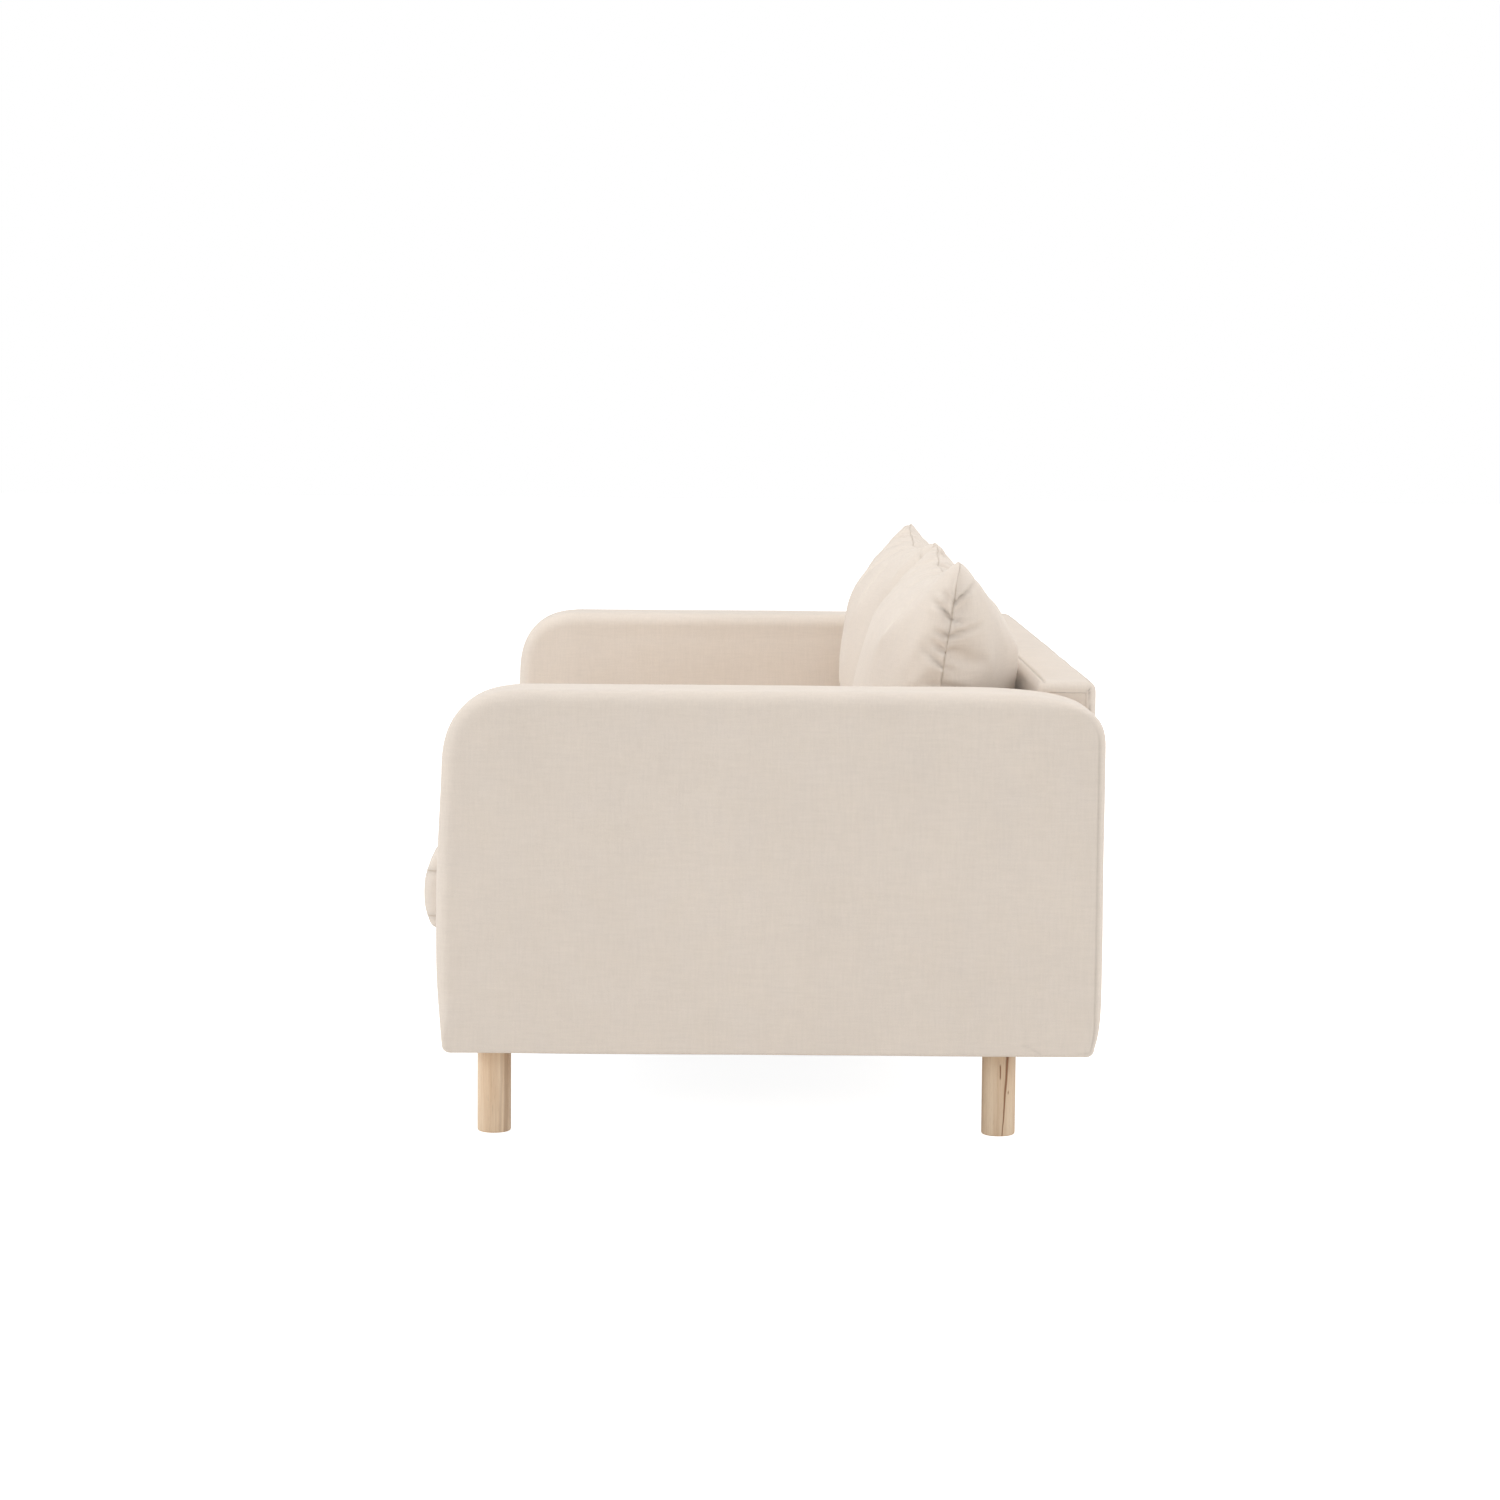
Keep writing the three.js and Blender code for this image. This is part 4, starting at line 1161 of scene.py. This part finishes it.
def keep_modified(piece, modifier):
    """Makes a modifier's result the piece's own mesh."""
    graph = bpy.context.evaluated_depsgraph_get()
    modified = bpy.data.meshes.new_from_object(piece.evaluated_get(graph))
    piece.modifiers.remove(modifier)
    piece.vertex_groups.clear()
    piece.data = modified


def inflate(piece, seam):
    """Blows a sewn cover up as cloth and keeps the result."""
    piece.vertex_groups.new(name="sewn").add(seam.tolist(), 1.0, "REPLACE")
    modifier = piece.modifiers.new("inflate", "CLOTH")
    for key, value in INFLATED_CLOTH.items():
        setattr(modifier.settings, key, value)
    modifier.settings.effector_weights.gravity = 0
    modifier.collision_settings.use_collision = False
    modifier.point_cache.frame_start = 1
    modifier.point_cache.frame_end = INFLATE_FRAMES
    scene = bpy.context.scene
    scene.frame_start, scene.frame_end = 1, INFLATE_FRAMES
    for step in range(1, INFLATE_FRAMES + 1):
        scene.frame_set(step)
    keep_modified(piece, modifier)
    scene.frame_set(1)


def refine(piece):
    """Halves a mesh's spacing, smoothly, and keeps the result."""
    smooth = piece.modifiers.new("smooth", "SUBSURF")
    smooth.levels = smooth.render_levels = 1
    keep_modified(piece, smooth)


# Ranges of the folds at a gathered edge, in metres and as a share of the given depth.
FOLD_REACH = (0.025, 0.085)
FOLD_HALF_WIDTH = (0.0026, 0.0048)
FOLD_DEPTH = (0.35, 1.25)
FOLD_SPACING = (0.014, 0.034)
FOLD_SLANT = 0.22
UNFOLDED_CORNER = 0.05


def gather(piece, width, height, seed, depth):
    """Short folds that run in from a cover's edges, where the stitching gathers the cloth.

    They are deepest at the two short edges, and shallower along the top and bottom. Their hollows get
    painted shade, darker where they sink deeper.
    """
    chance = np.random.default_rng(seed)
    share_x, share_z, face = pattern_of(piece).T
    sink = np.zeros(len(face))
    edges = (
        (share_x * width, share_z * height, height, depth),
        ((1 - share_x) * width, share_z * height, height, depth),
        (share_z * height, share_x * width, width, 0.6 * depth),
        ((1 - share_z) * height, share_x * width, width, 0.6 * depth),
    )
    for away, along, length, edge_depth in edges:
        place = chance.uniform(UNFOLDED_CORNER, UNFOLDED_CORNER + 0.01)
        while place < length - UNFOLDED_CORNER:
            for side in (1, -1):
                reach = chance.uniform(*FOLD_REACH)
                half = chance.uniform(*FOLD_HALF_WIDTH)
                slant = chance.normal(0, FOLD_SLANT)
                strength = edge_depth * chance.uniform(*FOLD_DEPTH)
                near = (away < reach) & (np.abs(along - place) < 0.03) & (face * side > 0)
                # A fold widens and dies away inwards, and the cloth bulges on both sides of it.
                offset = (along[near] - place - slant * away[near]) / (half * (1 + 12 * away[near]))
                fade = smoothstep(away[near], reach, 0.2 * reach)
                fold = np.exp(-(offset**2)) - 0.45 * np.exp(-((offset / 2.2) ** 2))
                sink[near] += strength * fade * fold
            place += chance.uniform(*FOLD_SPACING)
    move_to(piece, points_of(piece) - normals_of(piece) * sink[:, None])
    # Painted shade in the folds' hollows.
    paint_groove_shade(piece, 0.6 * (sink / depth).clip(0, 1))


def finish_cushion(piece, body):
    """A cushion's form stands for its cover and its filling."""
    nodes = [f"{body}_cover", f"{body}_core"]
    dress(piece, cushion_cloth, "cushion_fabric", body, *nodes)


def add_seam_shade_line(name, path, body, radius):
    """The thread line where two panels of a cover are sewn together, darker than the cloth so that it
    stands in part for the shade in the seam.
    """
    dress(tube(name, path, radius, closed=True, resolution=1), thread, "cushion_fabric", body)


def add_zip(side, place):
    """A cover's closed zip: its chain, on the way of its slider."""
    low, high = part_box(f"{side}_{place}_zip_slider")
    cover, _ = place_of(f"{side}_{place}_cushion_cover")
    # The seat cushion's zip lies in its rear border, and the back cushion's in its underside.
    if place == "seat":
        y, z = low.y - 0.0005, high.z - 0.004
    else:
        y, z = (low.y + high.y) / 2, high.z
    path = line((cover.x - ZIP_LENGTH / 2, y, z), (cover.x + ZIP_LENGTH / 2, y, z), 125)
    zip_chain = tube(f"{side}_{place}_zip_chain", path, 0.0017)
    dress(zip_chain, thread, "cushion_fabric", f"{side}_{place}_cushion")


def stretch_to(values, low, high):
    """Scales and shifts values in place, so that they run from low to high."""
    lowest, highest = values.min(), values.max()
    values[:] = low + (values - lowest) / (highest - lowest) * (high - low)


def rounded_rise(away, reach):
    """How far a panel has risen from its seam, as a share, at a distance from the edge."""
    return np.sqrt(1 - (1 - np.clip(away / reach, 0, 1)) ** 2)


def make_seat_cushion(side):
    """A boxed cover over a foam core: two plump panels and a narrow border all round."""
    sign = SIDES[side]
    low, high = seat_low - Vector((0, SEAT_OVERHANG, 0)), seat_high
    width, length = high.x - low.x, high.y - low.y
    near_edges = [(0, 0.060, 0.0065), (1, 0.060, 0.0065)]
    across, up = stops(width, 0.013, near_edges), stops(length, 0.013, near_edges)
    sides = rounded_rectangle(low, high, 0.030)
    heights = np.linspace(SEAT_BORDER / 2, -SEAT_BORDER / 2, 9)
    rings = [(0.0035 * (2 * h / SEAT_BORDER) ** 2, SEAT_BORDER_Z + h) for h in heights]
    seat = slab(f"{side}_seat_cushion_pad", sides, rings, across, up, LYING_FLAT)
    points = points_of(seat)
    _, y, z = points.T
    across_share, up_share, face = pattern_of(seat).T
    on_top, on_underside = face > 0, face < 0
    end_gap = np.minimum(across_share, 1 - across_share) * width
    front_gap, rear_gap = up_share * length, (1 - up_share) * length
    top_rise = rounded_rise(end_gap, 0.085) * rounded_rise(front_gap, 0.210) * rounded_rise(rear_gap, 0.085)
    low_rise = rounded_rise(end_gap, 0.035) * rounded_rise(front_gap, 0.060) * rounded_rise(rear_gap, 0.060)
    # The front edge droops a little; the top stays level and the underside lies on the deck.
    z -= SEAT_DROOP * smoothstep(y, low.y + 0.12, low.y)
    z += on_top * (high.z - z) * top_rise
    z += on_underside * (low.z - z) * low_rise
    # The top is a little uneven, and the back cushion has pressed a shallow step into its rear part.
    z += on_top * 0.0022 * (ripple(points, 0.16, 31 + sign) - 1) * top_rise
    z -= on_top * SEAT_STEP * smoothstep(y, 0.12, 0.19) * top_rise
    move_to(seat, points)
    top_ring, low_ring = ring_of(seat, 0), ring_of(seat, len(rings) - 1)
    # Painted shade along the seams round its top and its underside.
    marks = np.zeros(len(points))
    marks[top_ring] = marks[low_ring] = 0.3
    gather(seat, width, length, seed=51 + sign, depth=0.0018)
    points = points_of(seat)
    rims = np.concatenate([top_ring, low_ring])
    points[rims] -= 0.0013 * normals_of(seat)[rims]
    points = np.clip(points, np.array(low) + 0.0005, np.array(high))
    move_to(seat, points)
    paint_groove_shade(seat, marks)
    thread_lines = [points[top_ring], points[low_ring]]
    if sign < 0:
        mirror(seat)
        thread_lines = [path * (-1, 1, 1) for path in thread_lines]
    body = f"{side}_seat_cushion"
    refine(seat)
    finish_cushion(seat, body)
    for place, path in zip(("upper", "lower"), thread_lines):
        add_seam_shade_line(f"{body}_{place}_seam", path, body, 0.0005)


def bowed_rectangle(width, height, corner, bow_side, bow_top):
    """A cushion panel's cut: a rectangle whose edges swell outwards between slightly rounded corners."""
    sides = rounded_rectangle((-width / 2, -height / 2), (width / 2, height / 2), corner)
    bowed = []
    for path in sides:
        x, z = path[:, 0] / (width / 2), path[:, 1] / (height / 2)
        shift_x = bow_side * x * (1 - z**2).clip(0)
        shift_z = bow_top * z * (1 - x**2).clip(0)
        bowed.append(path + np.column_stack([shift_x, shift_z]))
    return bowed


def cut_pillow(side, width, height):
    """A back cushion's two panels sewn together and blown up, round the origin, and its seam's points."""
    sides = bowed_rectangle(width, height, 0.036, 0.014, 0.022)
    near_edges = [(0, 0.025, 0.0045), (1, 0.025, 0.0045)]
    across, up = stops(width, 0.0085, near_edges), stops(height, 0.0085, near_edges)
    name = f"{side}_back_cushion_pillow"
    pillow = slab(name, sides, [(0, 0)], across, up, FACING_FRONT, crown=0.020, eased=False)
    seam = ring_of(pillow, 0)
    points = points_of(pillow)
    points[:, 1] += 0.002 * ripple(points, 0.10, 41 + SIDES[side])
    move_to(pillow, points)
    inflate(pillow, seam)
    return pillow, seam, seam[: len(across)]


def settle_pillow(pillow, side, width, height, bottom_edge):
    """Fits a blown-up back cushion to its size and lets its filling settle."""
    points = points_of(pillow)
    x, y, z = points.T
    stretch_to(x, -width / 2, width / 2)
    stretch_to(z, -height / 2, height / 2)
    y *= np.where(y < 0, -PILLOW_FRONT / y.min(), PILLOW_REAR / y.max())
    # In front the lower half is the fuller one, and the outer end stands a little higher.
    upward, outward = z / (height / 2), x / (width / 2)
    upper = smoothstep(upward, -0.5, 1)
    y *= 1 - np.where(y < 0, PILLOW_SLUMP[side], 0.02) * upward
    y -= 0.003 * (outward - 1) * upper
    z += (0.004 + 0.002 * outward) * upper
    # The bottom edge rests on the seat, so it hardly arches between its corners.
    bottom_x, _, bottom_z = points[bottom_edge].T
    arch = np.interp(x, bottom_x, bottom_z) - bottom_z.min()
    z -= 0.85 * arch * smoothstep(upward, -0.2, -1)
    move_to(pillow, points)


def draw_to_zip(points, middle_x):
    """The zip's tape draws a back cushion's underside out to the zip's own straight line."""
    zip_low, zip_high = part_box("left_back_zip_slider")
    zip_y, zip_z = (zip_low.y + zip_high.y) / 2, zip_high.z + 0.001
    x, y, z = points.T
    past_end = np.abs(x - middle_x) - ZIP_LENGTH / 2
    lane = np.exp(-(((y - zip_y) / 0.012) ** 2)) * smoothstep(past_end, 0.03, 0)
    lane *= smoothstep(z, zip_z + 0.05, zip_z + 0.03)
    z += (zip_z - z) * lane


def make_back_cushion(side):
    """A knife-edge cushion: sewn, blown up, gathered at its edges and leant against the back."""
    sign = SIDES[side]
    low, high = pillow_low, pillow_high
    width, middle_x = high.x - low.x, (low.x + high.x) / 2
    foot, head = Vector((middle_x, *PILLOW_FOOT)), Vector((middle_x, *PILLOW_HEAD))
    height = (head - foot).length
    cut_width, cut_height = width + PILLOW_CUT[0], height + PILLOW_CUT[1]
    pillow, seam, bottom_edge = cut_pillow(side, cut_width, cut_height)
    settle_pillow(pillow, side, width, height, bottom_edge)
    refine(pillow)
    gather(pillow, cut_width, cut_height, seed=61 + sign, depth=0.0080)
    across_share, up_share, _ = pattern_of(pillow).T
    side_gap = np.minimum(across_share, 1 - across_share) * cut_width
    end_gap = np.minimum(up_share, 1 - up_share) * cut_height
    # The seam's groove is pressed in and gets painted shade.
    groove_width, groove_depth, groove_painted_shade = 0.0020, 0.0012, 0.3
    groove = np.exp(-((np.minimum(side_gap, end_gap) / groove_width) ** 2))
    paint_groove_shade(pillow, groove * groove_painted_shade)
    points = points_of(pillow) - normals_of(pillow) * (groove_depth * groove)[:, None]
    points = points @ np.array(Matrix.Rotation(-LEAN, 3, "X")).T + np.array((foot + head) / 2)
    draw_to_zip(points, middle_x)
    move_to(pillow, points)
    path = points[seam]
    if sign < 0:
        mirror(pillow)
        path = path * (-1, 1, 1)
    body = f"{side}_back_cushion"
    finish_cushion(pillow, body)
    add_seam_shade_line(f"{body}_seam", path, body, 0.0004)


# ---- build

add_camera()
add_studio()
finish_boards()
make_back()
make_front_border()
make_deck()
make_dust_cover()
make_staples()
for number in range(1, 7):
    make_spring(f"seat_spring_{number}")
for place in ("lower", "upper"):
    make_webbing(f"back_webbing_{place}")
for side_number, side in enumerate(SIDES):
    make_arm(side)
    for end_number, end in enumerate(ENDS):
        make_bolt(f"{side}_arm_{end}_bolt")
        make_leg(end, side, 2 * side_number + end_number)
        make_stud(f"{end}_{side}_leg")
        make_washer(f"{end}_{side}_leg")
    make_seat_cushion(side)
    make_back_cushion(side)
    for place in ("seat", "back"):
        add_zip(side, place)
        paint(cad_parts[f"{side}_{place}_zip_slider"], metal)
